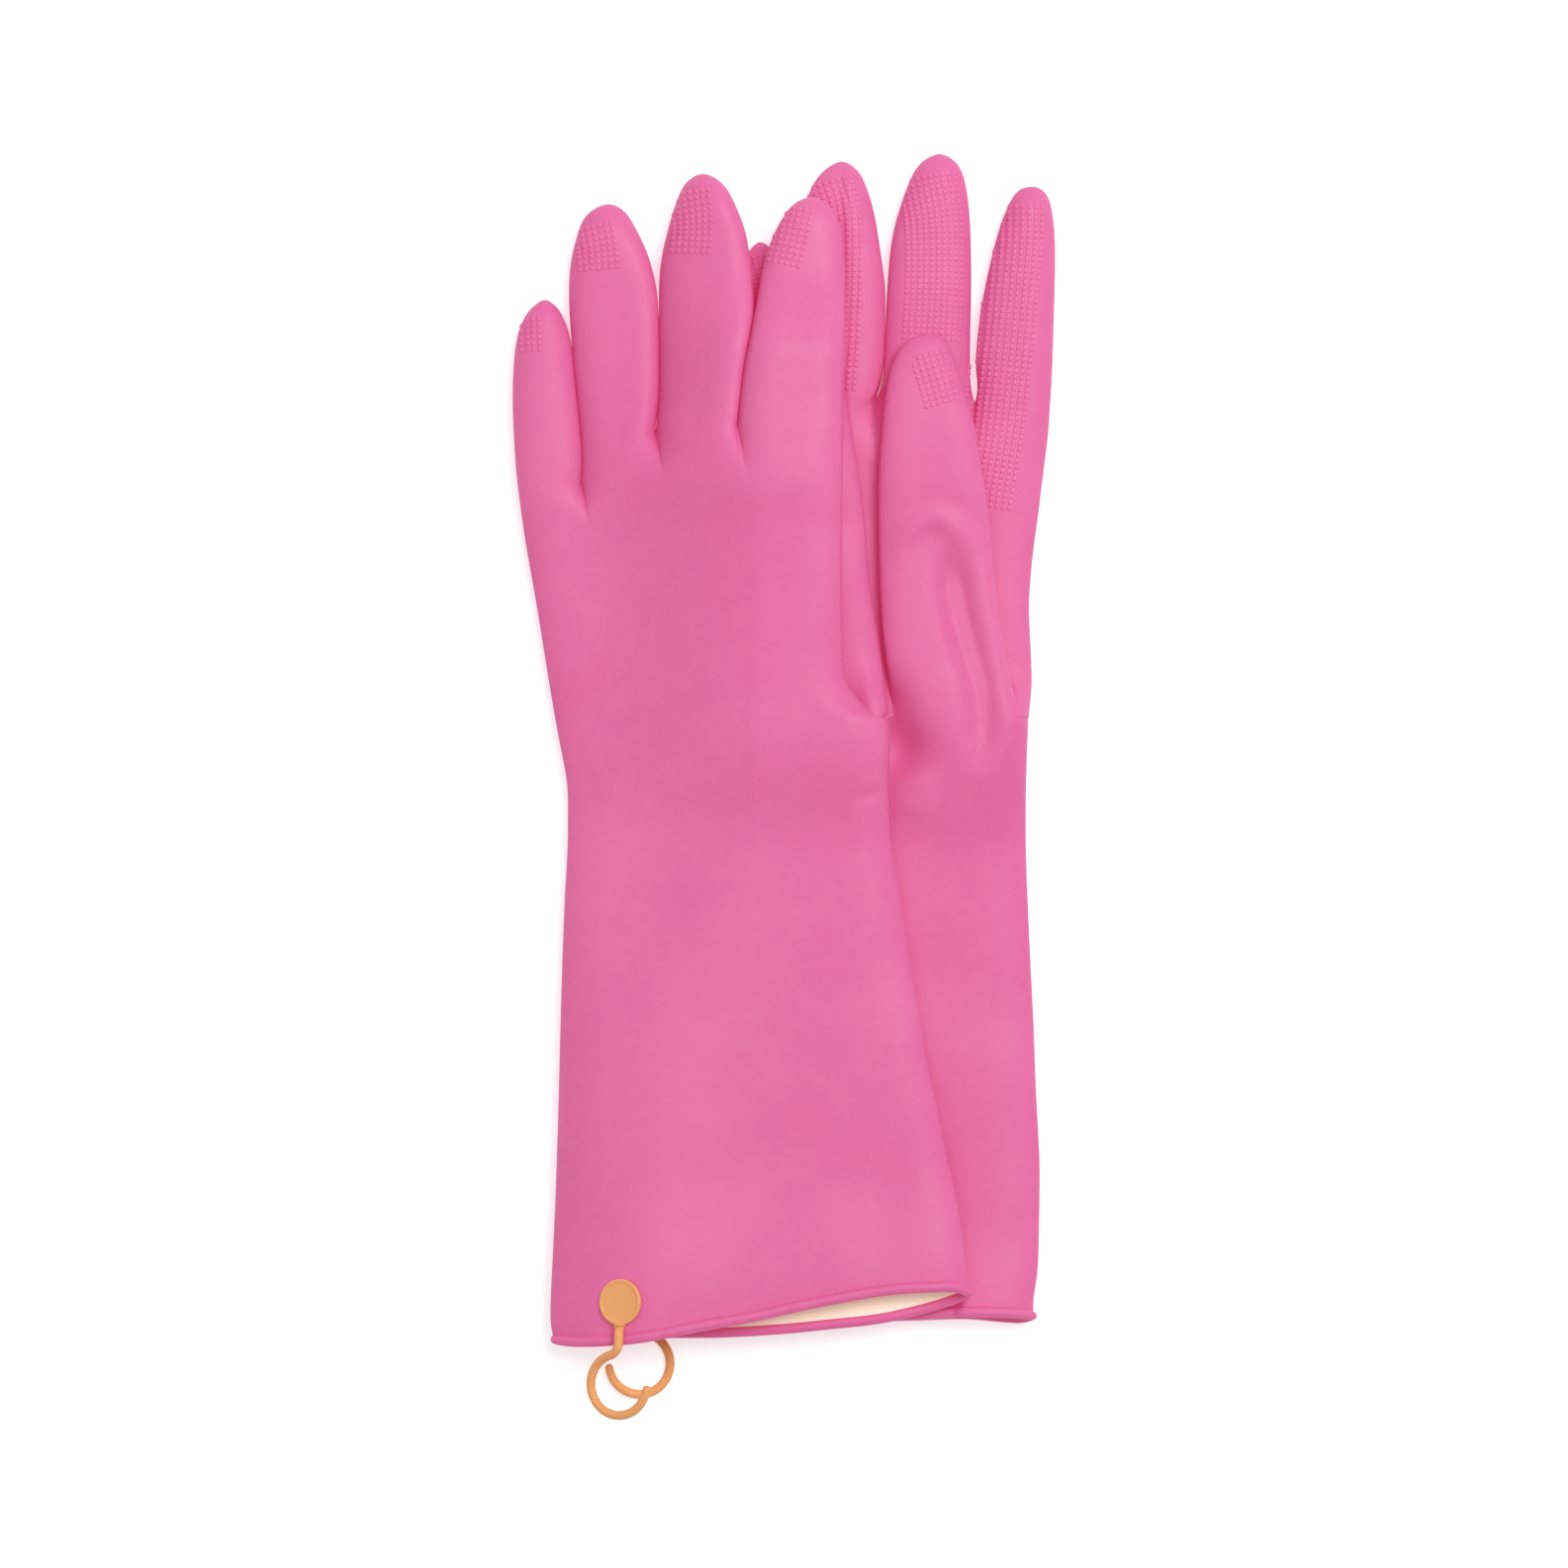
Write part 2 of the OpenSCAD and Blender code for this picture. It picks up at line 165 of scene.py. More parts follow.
GLOVES = {
    "left": dict(
        palm_up=False,
        little_edge=[(-75.3, -181.6), (-76.5, -175), (-76, -160), (-75, -140), (-74, -110), (-73, -70),
                     (-72, -40), (-71, -22), (-70.8, -10), (-71, 0), (-72.5, 9), (-75, 22), (-78, 40),
                     (-80.5, 55), (-83.5, 72), (-85, 81), (-86.9, 95)],
        index_edge=[(60.4, -165.4), (60.2, -160), (59, -150), (57, -137), (54, -122), (50, -103),
                    (47, -90), (45, -75), (42, -60), (40, -47), (37.5, -30), (35.5, -18), (34.8, -10),
                    (34.5, 2), (35, 10), (34.8, 18), (34.2, 22), (31.4, 23.4), (28.4, 25), (25.4, 27.6),
                    (22.6, 30.6), (20.3, 33.6), (19.5, 37), (19.3, 46), (19.3, 70), (19.4, 90),
                    (19.6, 105), (19.8, 117)],
        crotches=[(-66.5, 99), (-42, 116), (-15, 116.5)],
        outlines=dict(
            little=([(-86.9, 95), (-88, 105), (-89, 125), (-88.5, 140), (-87, 149), (-84, 155.5),
                     (-79, 159.5)],
                    [(-66.5, 99), (-66.3, 108), (-67.3, 120), (-68.9, 135), (-70.3, 147), (-73, 154.5),
                     (-75.8, 158.3), (-79, 159.5)]),
            ring=([(-66.5, 99), (-65.7, 108), (-66.6, 120), (-68.2, 135), (-69.3, 148), (-70, 160),
                   (-69.6, 170), (-68, 178), (-64.6, 187), (-58, 191)],
                  [(-42, 116), (-41.1, 127), (-40.9, 140), (-41.3, 157), (-42.4, 166), (-45, 175),
                   (-48.5, 182.5), (-52.6, 188.8), (-58, 191)]),
            middle=([(-42, 116), (-40.4, 127), (-40.2, 140), (-40.4, 157), (-40, 170), (-38, 180),
                     (-35, 190), (-31.6, 197.4), (-26, 200.2)],
                    [(-15, 116.5), (-14.4, 125), (-13.4, 135), (-11.5, 145), (-9.9, 155), (-10.5, 165),
                     (-12, 178), (-15, 187.5), (-19.8, 196.4), (-26, 200.2)]),
            index=([(-15, 116.5), (-13.7, 125), (-12.6, 135), (-10.6, 145), (-8.4, 157), (-6, 170),
                    (-3.5, 178), (0, 185), (4, 190), (9, 192)],
                   [(19.8, 117), (20, 130), (20.5, 150), (20.6, 170), (19.6, 180), (17, 186.7),
                    (13.4, 190.8), (9, 192)]),
        ),
        thumb=([(-8, 22), (-9, 45), (-10, 75), (-8.5, 105), (-6, 125), (-1, 139), (6, 144)],
               [(34.2, 22), (33.2, 32), (32, 42), (30, 55), (28, 70), (27, 85), (25, 100), (21, 125),
                (17, 136), (12, 142), (6, 144)]),
        mouth_upper=[(-75.3, -181.6), (-66, -181.6), (-50, -180), (-40, -178.2), (-25, -175.2),
                     (-10, -172.6), (5, -169.2), (20, -166.2), (35, -163.8), (50, -162.9), (57, -163.2),
                     (60.4, -165.4)],
        mouth_lower=[(-75.3, -181.6), (-70, -180.9), (-58, -179.6), (-42, -178.8), (-20, -178.6),
                     (0, -177.4), (15, -175.9), (30, -174.3), (40, -172.3), (50, -169.7), (57, -167.2),
                     (60.4, -165.4)],
    ),
    "right": dict(
        palm_up=True,
        little_edge=[(-54, -178), (-51, -140), (-39, -80), (-27, -30), (-24, -8), (-24, 4), (-22, 22),
                     (-18.5, 58), (-17, 92), (-17.2, 106)],
        index_edge=[(82.3, -174), (82.3, -168), (83.5, -162), (84, -155), (84.3, -140), (84.5, -125),
                    (84, -115), (83.5, -105), (83, -95), (82.5, -80), (81.5, -60), (80.8, -45),
                    (80, -25), (79.8, -8), (80, 8), (80.6, 22), (81.5, 30), (81.8, 38), (81.2, 50),
                    (81, 60), (82, 73), (83, 81), (84, 88), (85, 97), (86, 105), (87.3, 116)],
        crotches=[(3.8, 112), (30.5, 127), (63, 125.5)],
        outlines=dict(
            little=([(-17.2, 106), (-18, 125), (-18.2, 145), (-17, 160), (-14, 171), (-8, 178.5)],
                    [(3.8, 112), (3.5, 130), (3.3, 150), (1, 165), (-2.5, 174), (-8, 178.5)]),
            ring=([(3.8, 112), (4.2, 130), (4.3, 150), (5, 175), (7.5, 190), (11.7, 199.8), (18.7, 205)],
                  [(30.5, 127), (32.4, 133), (33.1, 150), (33.2, 163), (32, 173), (30, 186),
                   (27.6, 195), (24.2, 202), (18.7, 205)]),
            middle=([(30.5, 127), (33.1, 133), (33.9, 150), (34.7, 165), (36.2, 180), (40, 193.5),
                     (44.6, 203.4), (51, 207.5)],
                    [(63, 125.5), (61.7, 131), (61.6, 145), (62, 165), (61.6, 185), (60, 198),
                     (57, 204.7), (51, 207.5)]),
            index=([(63, 125.5), (64.3, 129), (63.4, 133), (63.1, 140), (64, 150), (66, 163), (70, 180),
                    (73.6, 190), (76.8, 195.2), (81, 196.8)],
                   [(87.3, 116), (88.5, 135), (89, 150), (89.5, 170), (89.2, 183), (87.6, 192.3),
                    (84.8, 196), (81, 196.8)]),
        ),
        thumb=([(36, 22), (34.5, 35), (32.5, 50), (31.2, 75), (31, 100), (32, 115), (34.2, 133),
                (37.4, 141.5), (42, 146.2), (48, 147.6)],
               [(80.6, 22), (77.4, 26), (75.4, 31), (73.3, 40), (71.6, 50), (70, 62), (68.5, 80),
                (67, 92), (65, 104), (63, 116), (60.7, 124), (58.2, 132), (55.6, 140.5), (52.4, 146),
                (48, 147.6)]),
        mouth_upper=[(-54, -178), (-20, -176.4), (20, -174.4), (45, -173.2), (60, -172.2), (72, -172.4),
                     (80, -173.2), (82.3, -174)],
        mouth_lower=[(-54, -178), (-20, -177), (20, -175), (45, -174.2), (60, -173.7), (70, -174.6),
                     (78, -175), (82.3, -174)],
    ),
}


# ---- Curves and sections ---------------------------------------------------------------------------------

def ease(t):
    t = np.clip(t, 0, 1)
    return t * t * (3 - 2 * t)


def smooth_line(points, per_span=16):
    """A Catmull-Rom line through the points."""
    p = np.array(points, float)
    p = np.vstack([2 * p[0] - p[1], p, 2 * p[-1] - p[-2]])
    t = np.linspace(0, 1, per_span, endpoint=False)[:, None]
    spans = []
    for a, b, c, d in zip(p, p[1:], p[2:], p[3:]):
        bend = (2 * a - 5 * b + 4 * c - d) * t ** 2 + (3 * b - a - 3 * c + d) * t ** 3
        spans.append(0.5 * (2 * b + (c - a) * t + bend))
    return np.vstack(spans + [p[-2:-1]])


def running_length(line):
    return np.r_[0, np.cumsum(np.linalg.norm(np.diff(line, axis=0), axis=1))]


def round_outline(left, right, shares):
    """Both sides of a finger at the given shares of their lengths. They meet in one smooth round tip."""
    whole = smooth_line(list(left) + list(right)[-2::-1])
    turn = (len(left) - 1) * 16
    sides = []
    for line in (whole[:turn + 1], whole[:turn - 1:-1]):
        length = running_length(line)
        sides.append(np.stack([np.interp(shares, length / length[-1], line[:, k]) for k in (0, 1)], -1))
    return sides


def across(points):
    """x as a function of y for an edge that climbs from the cuff to the fingers."""
    line = smooth_line(points)
    return lambda y: np.interp(y, np.maximum.accumulate(line[:, 1]), line[:, 0])


def lip(points):
    """y as a function of x for a lip of the mouth."""
    line = smooth_line(points)
    return lambda x: np.interp(x, np.maximum.accumulate(line[:, 0]), line[:, 1])


def rounding(distance, radius):
    """Share of full thickness at a distance in from an edge of that radius."""
    return np.sqrt(1 - (1 - np.clip(distance / radius, 0, 1)) ** 2)


# ---- Heights over the table, as in the CAD model ---------------------------------------------------------

right_little_edge = across(GLOVES["right"]["little_edge"])
THUMB_SIDE = {"left": (-38, -8), "right": (31, 47)}     # x over which a wall climbs onto the thumb


def arm_tall(y):
    return ARM_TALL + 0.6 * ease((-60 - y) / 60)


def hand_tall(y, knuckle_y):
    return ARM_TALL + (FINGER_TALL - ARM_TALL) * ease((y - knuckle_y + 46) / 40)


def carried(y):
    """Height at which the lower glove carries the upper one. Both the knuckles and the mouth stand higher."""
    return ARM_TALL + LAYER_GAP + 2 * ease((y - 84) / 14) + 5.4 * ease((-122 - y) / 44)


def level(glove, x, y):
    """Height of the underside of a glove over the table."""
    if glove == "right":
        return 2.6 * np.clip((-118 - y) / 56, 0, 1) ** 2 + 0 * x
    return carried(y) * ease((x - right_little_edge(y) + 36) / 50)


def thumb_place(y):
    """1 along the thumb, fading to 0 beyond its root and its tip."""
    return ease((y + 24) / 46) * (1 - ease((y - 138) / 34))


def thumb_rise(glove, x, y):
    low, high = THUMB_SIDE[glove]
    return (THUMB_TALL + LAYER_GAP) * ease((x - low) / (high - low)) * thumb_place(y)


def body_span(glove, x, y, part):
    """Under and over heights of the arm, the hand and fingers, or the thumb, at plan points."""
    under = level(glove, x, y)
    if part == "arm":
        return under, under + arm_tall(y) + thumb_rise(glove, x, y)
    if part == "hand":
        if glove == "left":
            under = under + thumb_rise(glove, x, y)
        return under, under + hand_tall(y, 108 if glove == "left" else 120)
    if glove == "right":
        under = under + ARM_TALL + LAYER_GAP + 2.2 * ease((y - 84) / 14)
    return under, under + THUMB_TALL


def slack(glove, x, y, part):
    """How much further the back of the upper glove bridges the step where it climbs onto the lower glove."""
    if glove == "right" or part == "thumb":
        return 0 * x
    eased = carried(y) * ease((x - right_little_edge(y) + 56) / 70) - level(glove, x, y)
    low, high = THUMB_SIDE[glove]
    thumb = (THUMB_TALL + LAYER_GAP) * (ease((x + 66) / 66) - ease((x - low) / (high - low))) * thumb_place(y)
    fingers = 1 - 0.6 * ease((y - 100) / 30)
    round_the_hook = ease((np.hypot(x + 53, y + 172) - 14) / 45)
    return np.maximum(eased + thumb, 0) * fingers * round_the_hook


def wall(glove, x, y, share, part, upper):
    """Height of the upper or lower wall. share is the share of full thickness."""
    under, over = body_span(glove, x, y, part)
    over = over + slack(glove, x, y, part)
    middle, half = (under + over) / 2, (over - under) / 2
    return middle + (half if upper else -half) * share


# ---- The shell of one glove ------------------------------------------------------------------------------

class Shell:
    """Rings of points joined by bands of quads. Each face has a zone."""

    def __init__(self):
        self.points, self.faces, self.zones = [], [], []

    def add(self, points):
        first = len(self.points)
        self.points.extend(np.asarray(points, float).tolist())
        return list(range(first, len(self.points)))

    def add_row(self, upper, lower):
        """Upper and lower points of a row. They share their first and last point."""
        top = self.add(upper)
        return top, [top[0]] + self.add(lower[1:-1]) + [top[-1]]

    def band(self, ring, following, zone):
        for i in range(len(ring)):
            j = (i + 1) % len(ring)
            quad = list(dict.fromkeys((ring[i], ring[j], following[j], following[i])))
            if len(quad) > 2:
                self.faces.append(quad)
                self.zones.append(zone)

    def close(self, upper, lower, zone):
        for i in range(len(upper) - 1):
            quad = list(dict.fromkeys((upper[i], upper[i + 1], lower[i + 1], lower[i])))
            if len(quad) > 2:
                self.faces.append(quad)
                self.zones.append(zone)


def loop_of(upper, lower):
    return upper + lower[-2:0:-1]


def spread(count, rounded):
    """Column places across a span: evenly, or close together towards both ends."""
    u = np.linspace(0, 1, count + 1)
    return u + (0.5 - 0.5 * np.cos(np.pi * u) - u) * rounded


def column_places(bounds, knuckles):
    """x of every column of a row, from its five finger bounds. knuckles is 1 at the finger roots."""
    ends = [spread(PER_FINGER, knuckles)] * 4
    outer = 1 - np.cos(np.linspace(0, 1, PER_FINGER + 1) * np.pi / 2)
    ends[0] = outer + (ends[0] - outer) * knuckles
    ends[3] = (1 - outer[::-1]) + (ends[3] - (1 - outer[::-1])) * knuckles
    xs = [bounds[i] + (bounds[i + 1] - bounds[i]) * ends[i][:-1] for i in range(4)]
    return np.concatenate(xs + [[bounds[4]]])


ROOT_SHARES = np.array([0, 0.22, 0.47, 0.73, 1])
SIDE_RADIUS, FINGER_RADIUS, TIP_RADIUS = 15.0, 9.5, 12.0


def row_share(x, bounds, crease):
    """Share of full thickness along a row: rounded at both sides, and pinched between the fingers."""
    side = SIDE_RADIUS + (FINGER_RADIUS - SIDE_RADIUS) * crease
    share = rounding(x - bounds[0], side) * rounding(bounds[4] - x, side)
    for i in (1, 2, 3):
        share = share * (1 - crease ** 1.4 * (1 - rounding(np.abs(x - bounds[i]), FINGER_RADIUS)))
    return share


def forearm(shell, name):
    """Rings from the mouth to the fork. Returns the last one: upper and lower points, x and finger bounds."""
    g = GLOVES[name]
    little, index = across(g["little_edge"]), across(g["index_edge"])
    lips = ((True, lip(g["mouth_upper"])), (False, lip(g["mouth_lower"])))
    left_start, right_start = g["mouth_upper"][0][1], g["mouth_upper"][-1][1]
    start_y = np.mean([left_start, right_start])
    rows_y = np.concatenate([[0, 1.6, 4, 7.5, 12], np.arange(18, 132, 8.0), np.arange(132, 193, 4.2)])
    rows_y = start_y + rows_y * (FORK_Y - start_y) / rows_y[-1]
    previous = None
    for row_y in rows_y:
        slant = (1 - ease((row_y - start_y) / 75)) ** 1.5
        left_y = row_y + (left_start - start_y) * slant
        right_y = row_y + (right_start - start_y) * slant
        bounds = little(left_y) + (index(right_y) - little(left_y)) * ROOT_SHARES
        x = column_places(bounds, 0.0)
        share = row_share(x, bounds, 0.0)
        layers = []
        for upper, mouth in lips:
            y = row_y + (mouth(x) - start_y) * slant
            layers.append(np.stack([x, y, wall(name, x, y, share, "arm", upper)], -1))
        top, low = shell.add_row(*layers)
        ring = loop_of(top, low)
        if previous:
            shell.band(previous, ring, "cuff")
        previous = ring
    return top, low, x, bounds


def fork(shell, name, row):
    """The seam that the thumb stall shares with the palm: its points, and its height at every column."""
    top, low, x, bounds = row
    palm_up = GLOVES[name]["palm_up"]
    facing = top if palm_up else low
    own = slice(THUMB_FROM + 1, COLUMNS)
    seam_x = x[own]
    thumb_low, thumb_high = body_span(name, seam_x, FORK_Y, "thumb")
    seam_z = thumb_low - SEAM_INSET if palm_up else thumb_high + SEAM_INSET
    over = wall(name, seam_x, FORK_Y, row_share(x, bounds, 0.0)[own], "arm", True) - SEAM_INSET
    seam_z = seam_z + (over - seam_z) * ease((seam_x - x[-1] + 11) / 7)
    seam_y = FORK_Y - 3.0 * np.sin(np.linspace(0, np.pi, len(seam_x)))
    seam = shell.add(np.stack([seam_x, seam_y, seam_z], -1))
    seam = [facing[THUMB_FROM]] + seam + [facing[COLUMNS]]
    return seam, np.concatenate([np.full(THUMB_FROM + 1, np.nan), seam_z, [np.nan]])


def leave_seam(z, own, seam_z, at_seam, climb):
    """Heights that part from the seam, or from the arm where there is none, as climb goes from 0 to 1."""
    bond = np.where(np.isnan(seam_z), own, seam_z) if at_seam else own
    return bond + (z - bond) * climb


def meet_at_sides(layers):
    ends = (layers[0][[0, -1], 2] + layers[1][[0, -1], 2]) / 2
    layers[0][[0, -1], 2] = ends


def palm(shell, name, row, seam, seam_z):
    """Palm and back of the hand, from the fork to the roots of the fingers. Returns the last row."""
    g = GLOVES[name]
    top, low = row[:2]
    little, index = across(g["little_edge"]), across(g["index_edge"])
    roots = np.array([g["little_edge"][-1], *g["crotches"], g["index_edge"][-1]], float)
    fork_bounds = little(FORK_Y) + (index(FORK_Y) - little(FORK_Y)) * ROOT_SHARES
    if g["palm_up"]:
        previous = (top[:THUMB_FROM] + seam, low)
    else:
        previous = (top, low[:THUMB_FROM] + seam)
    climbs = np.concatenate([[0.012, 0.028, 0.046, 0.066, 0.09, 0.12], np.linspace(0.16, 0.8, 13),
                             [0.84, 0.88, 0.915, 0.945, 0.97, 0.987, 1]])
    for t in climbs:
        bounds = fork_bounds + (roots[:, 0] - fork_bounds) * t
        bound_y = FORK_Y + (roots[:, 1] - FORK_Y) * t
        straight = bounds[4]
        bounds[0], bounds[4] = little(bound_y[0]), index(bound_y[4])
        bounds[1:4] += (bounds[4] - straight) * np.array([.1, .3, .6]) * (1 - t)
        crease = float(ease((t - 0.8) / 0.2)) ** 1.3
        x = column_places(bounds, ease((t - 0.2) / 0.8))
        y = np.interp(x, bounds, bound_y)
        share = row_share(x, bounds, crease)
        layers = []
        for upper in (True, False):
            z = leave_seam(wall(name, x, y, share, "hand", upper), wall(name, x, y, share, "arm", upper),
                           seam_z, upper == g["palm_up"], ease((y - FORK_Y) / 16))
            layers.append(np.stack([x, y, z], -1))
        meet_at_sides(layers)
        top = shell.add(layers[0])
        crotch_columns = [PER_FINGER * k for k in (1, 2, 3)] if t == 1 else []
        for k in crotch_columns:
            shell.points[top[k]][2] = float(layers[0][k, 2] + layers[1][k, 2]) / 2
        shared = {0, COLUMNS, *crotch_columns}
        low = [top[k] if k in shared else shell.add([layers[1][k]])[0] for k in range(COLUMNS + 1)]
        shell.band(loop_of(*previous), loop_of(top, low), "hand")
        previous = (top, low)
    return previous


def stall(shell, name, zone, outline, root, part, rows, seam_z=None):
    """A finger or thumb: rows from its root to its tip, closed at the end."""
    t = np.linspace(0, 1, rows + 1)[1:]
    shares = 1 - (1 - t) ** 1.8
    shares[-1] = 0.998
    left, right = round_outline(*outline, shares)
    plump = 0.55 * ease(t / 0.06) * ease((1 - t) / 0.3)
    left[:, 0] -= plump * (zone in ("ring", "middle") or (name, zone) == ("left", "index"))
    right[:, 0] += plump * (zone in ("little", "ring") or (name, zone) == ("left", "middle"))
    tip = np.array(outline[0][-1], float)
    u = spread(len(root[0]) - 1, 1.0)
    previous = root
    for a, b in zip(left, right):
        plan = a + (b - a) * u[:, None]
        x, y = plan[:, 0], plan[:, 1]
        width = np.linalg.norm(b - a)
        radius = min(FINGER_RADIUS, width / 2)
        share = rounding(u * width, radius) * rounding((1 - u) * width, radius)
        share = share * rounding(np.linalg.norm((a + b) / 2 - tip), TIP_RADIUS)
        layers = []
        for upper in (True, False):
            z = wall(name, x, y, share, part, upper)
            if seam_z is not None:
                z = leave_seam(z, wall(name, x, y, share, "arm", upper), seam_z,
                               upper != GLOVES[name]["palm_up"], ease((y - FORK_Y) / 18))
            layers.append(np.stack([x, y, z], -1))
        meet_at_sides(layers)
        top, low = shell.add_row(*layers)
        shell.band(loop_of(*previous), loop_of(top, low), zone)
        previous = (top, low)
    shell.close(*previous, zone)


def build_shell(name):
    """A whole glove as one sheet of quads, open only at its mouth."""
    g = GLOVES[name]
    shell = Shell()
    row = forearm(shell, name)
    seam, seam_z = fork(shell, name, row)
    roots = palm(shell, name, row, seam, seam_z)
    for i, finger in enumerate(FINGERS):
        own = slice(i * PER_FINGER, (i + 1) * PER_FINGER + 1)
        stall(shell, name, finger, g["outlines"][finger], (roots[0][own], roots[1][own]), "hand", 24)
    outer = row[0 if g["palm_up"] else 1][THUMB_FROM:]
    thumb_root = (outer, seam) if g["palm_up"] else (seam, outer)
    stall(shell, name, "thumb", g["thumb"], thumb_root, "thumb", 30, seam_z[THUMB_FROM:])
    return shell


# ---- Folds pressed into the rubber -----------------------------------------------------------------------

def off_line(xy, points):
    """Distance from plan points to a smooth line, and the share of its length where each is nearest."""
    line = smooth_line(points, 12)
    gaps = np.linalg.norm(xy[:, None, :] - line[None], axis=-1)
    nearest = gaps.argmin(1)
    return gaps[np.arange(len(xy)), nearest], nearest / (len(line) - 1)


def fold(xy, points, depth, width, fade=0.25):
    """A soft groove (negative depth) or ridge along a line, fading at both ends."""
    gap, share = off_line(xy, points)
    ends = ease(share / fade) * ease((1 - share) / fade)
    return depth * np.exp(-(gap / width) ** 2) * ends


def swell(x, y, centre, radii, height):
    """A soft round rise, or a dent where height is negative."""
    return height * np.exp(-((x - centre[0]) / radii[0]) ** 2 - ((y - centre[1]) / radii[1]) ** 2)


def lumps(x, y, seed, size):
    """A smooth uneven field of about one unit, from a few waves."""
    dice = np.random.default_rng(seed)
    total = 0 * x
    for _ in range(7):
        angle, phase = dice.uniform(0, np.pi), dice.uniform(0, 2 * np.pi)
        wave = 2 * np.pi / (size * dice.uniform(0.7, 1.7))
        total = total + np.sin(wave * (x * np.cos(angle) + y * np.sin(angle)) + phase)
    return total / 3


def covered(x, y):
    """1 on the part of the right glove that the left one lies on."""
    edge = across(GLOVES["left"]["index_edge"])(y)
    edge = edge + 4 * ease((y - 25) / 20) + (19 - edge) * ease((y - 95) / 15)
    return ease((edge - 1 - x) / 3.5)


def sunk(x, y):
    """How far the left glove presses the right one down: more at the mouth, and where its cuff hinges up."""
    mouth = ease((-150 - y) / 18)
    side = ease((x - right_little_edge(y) - 1.5) / (9 - 4 * mouth))
    side = side + (1 - side) * ease((y - 95) / 15)
    return (0.9 + 1.3 * mouth + swell(x, y, (3, 6), (32, 15), 3.0)) * side


WRIST_CREASE = [(35, -1), (28, -3), (20, -5)]
FINGER_CURL = [(27, 129.5), (29.5, 126.5), (32.5, 129.5), (35, 136), (37, 143)]
THUMB_ARCH = [(36, 72), (40, 82), (49, 87), (57, 83), (62, 73)]
THUMB_VALLEY = [(52, 80), (55, 70), (57.5, 57), (61, 44), (64.5, 31), (65, 16), (62, 2)]


def left_folds(x, y):
    calm = 1 - 0.7 * ease((y - 100) / 30)
    lift = 0.6 * lumps(x, y, 11, 55) * calm + swell(x, y, (31, -138), (15, 26), -1.7)
    return lift + fold(np.stack([x, y], -1), WRIST_CREASE, -0.9, 2.4, 0.5)


def right_folds(x, y, thumb_side):
    xy = np.stack([x, y], -1)
    calm = 1 - 0.7 * ease((y - 100) / 30)
    lift = 0.5 * lumps(x, y, 5, 50) * calm
    curl = fold(xy, FINGER_CURL, -1.3, 1.3, 0.3) + fold(xy + [1.9, 0], FINGER_CURL, 0.8, 1.2, 0.3)
    lift += curl * (1 - thumb_side)
    thumb = fold(xy, THUMB_ARCH, 2.0, 4.2, 0.35)
    thumb += fold(xy, THUMB_VALLEY, -4.6, 5.4, 0.25)
    thumb += swell(x, y, (40.5, 12.5), (8, 9), -5.8) * ease((y - 0.5) / 4.5)
    thumb += swell(x, y, (42, -6), (9, 6), 1.2)
    under = covered(x, y)
    return (lift + thumb * thumb_side) * (1 - under) - sunk(x, y) * under


# ---- Meshes ----------------------------------------------------------------------------------------------

ZONES = ("cuff", "hand", "thumb") + FINGERS


def subdivided(shell, levels):
    """Vertices in mm, quads, zones and vertex normals of the smoothed shell."""
    mesh = bpy.data.meshes.new("shell")
    mesh.from_pydata(shell.points, [], shell.faces)
    for polygon, zone in zip(mesh.polygons, shell.zones):
        polygon.material_index = ZONES.index(zone)
    for _ in ZONES:
        mesh.materials.append(None)
    obj = bpy.data.objects.new("shell", mesh)
    bpy.context.scene.collection.objects.link(obj)
    smoothing = obj.modifiers.new("smooth", "SUBSURF")
    smoothing.levels = smoothing.render_levels = levels
    smoothing.boundary_smooth = "PRESERVE_CORNERS"
    bpy.context.view_layer.update()
    done = bpy.data.meshes.new_from_object(obj.evaluated_get(bpy.context.evaluated_depsgraph_get()))
    bpy.data.objects.remove(obj)
    return done


def read(mesh):
    co = np.zeros(len(mesh.vertices) * 3, np.float32)
    mesh.vertices.foreach_get("co", co)
    normals = np.zeros(len(mesh.vertices) * 3, np.float32)
    mesh.vertices.foreach_get("normal", normals)
    faces = [tuple(p.vertices) for p in mesh.polygons]
    zones = np.array([p.material_index for p in mesh.polygons])
    return co.reshape(-1, 3).astype(float), normals.reshape(-1, 3).astype(float), faces, zones


def vertex_zones(count, faces, zones):
    owner = np.full(count, -1)
    for face, zone in zip(faces, zones):
        for v in face:
            owner[v] = max(owner[v], zone)
    return owner


PRESS_LIMIT, INSET_LIMIT = 0.42, 0.45    # shares of the room to the far wall


def press_folds(name, mesh):
    """Moves the upper wall by its folds, down by less than half the room below it."""
    co, normals, faces, zones = read(mesh)
    if name == "left":
        lift = left_folds(co[:, 0], co[:, 1])
    else:
        owner = vertex_zones(len(co), faces, zones)
        thumb_side = (owner == ZONES.index("cuff")) | (owner == ZONES.index("thumb"))
        lift = right_folds(co[:, 0], co[:, 1], thumb_side.astype(float))
    lift = np.maximum(lift, -PRESS_LIMIT * depth_under(surface_tree(mesh)[0], co, normals, 40.0))
    co[:, 2] += lift * np.clip(normals[:, 2] * 1.6, 0, 1)
    mesh.vertices.foreach_set("co", co.astype(np.float32).ravel())
    mesh.update()


def surface_tree(mesh):
    co, _, faces, zones = read(mesh)
    return BVHTree.FromPolygons(co.tolist(), faces), zones


def settle(mesh, onto):
    """Moves every point of a mesh to the nearest point of another."""
    tree, _ = surface_tree(onto)
    co = [tree.find_nearest(v.co)[0] for v in mesh.vertices]
    mesh.vertices.foreach_set("co", np.array(co, np.float32).ravel())
    mesh.update()


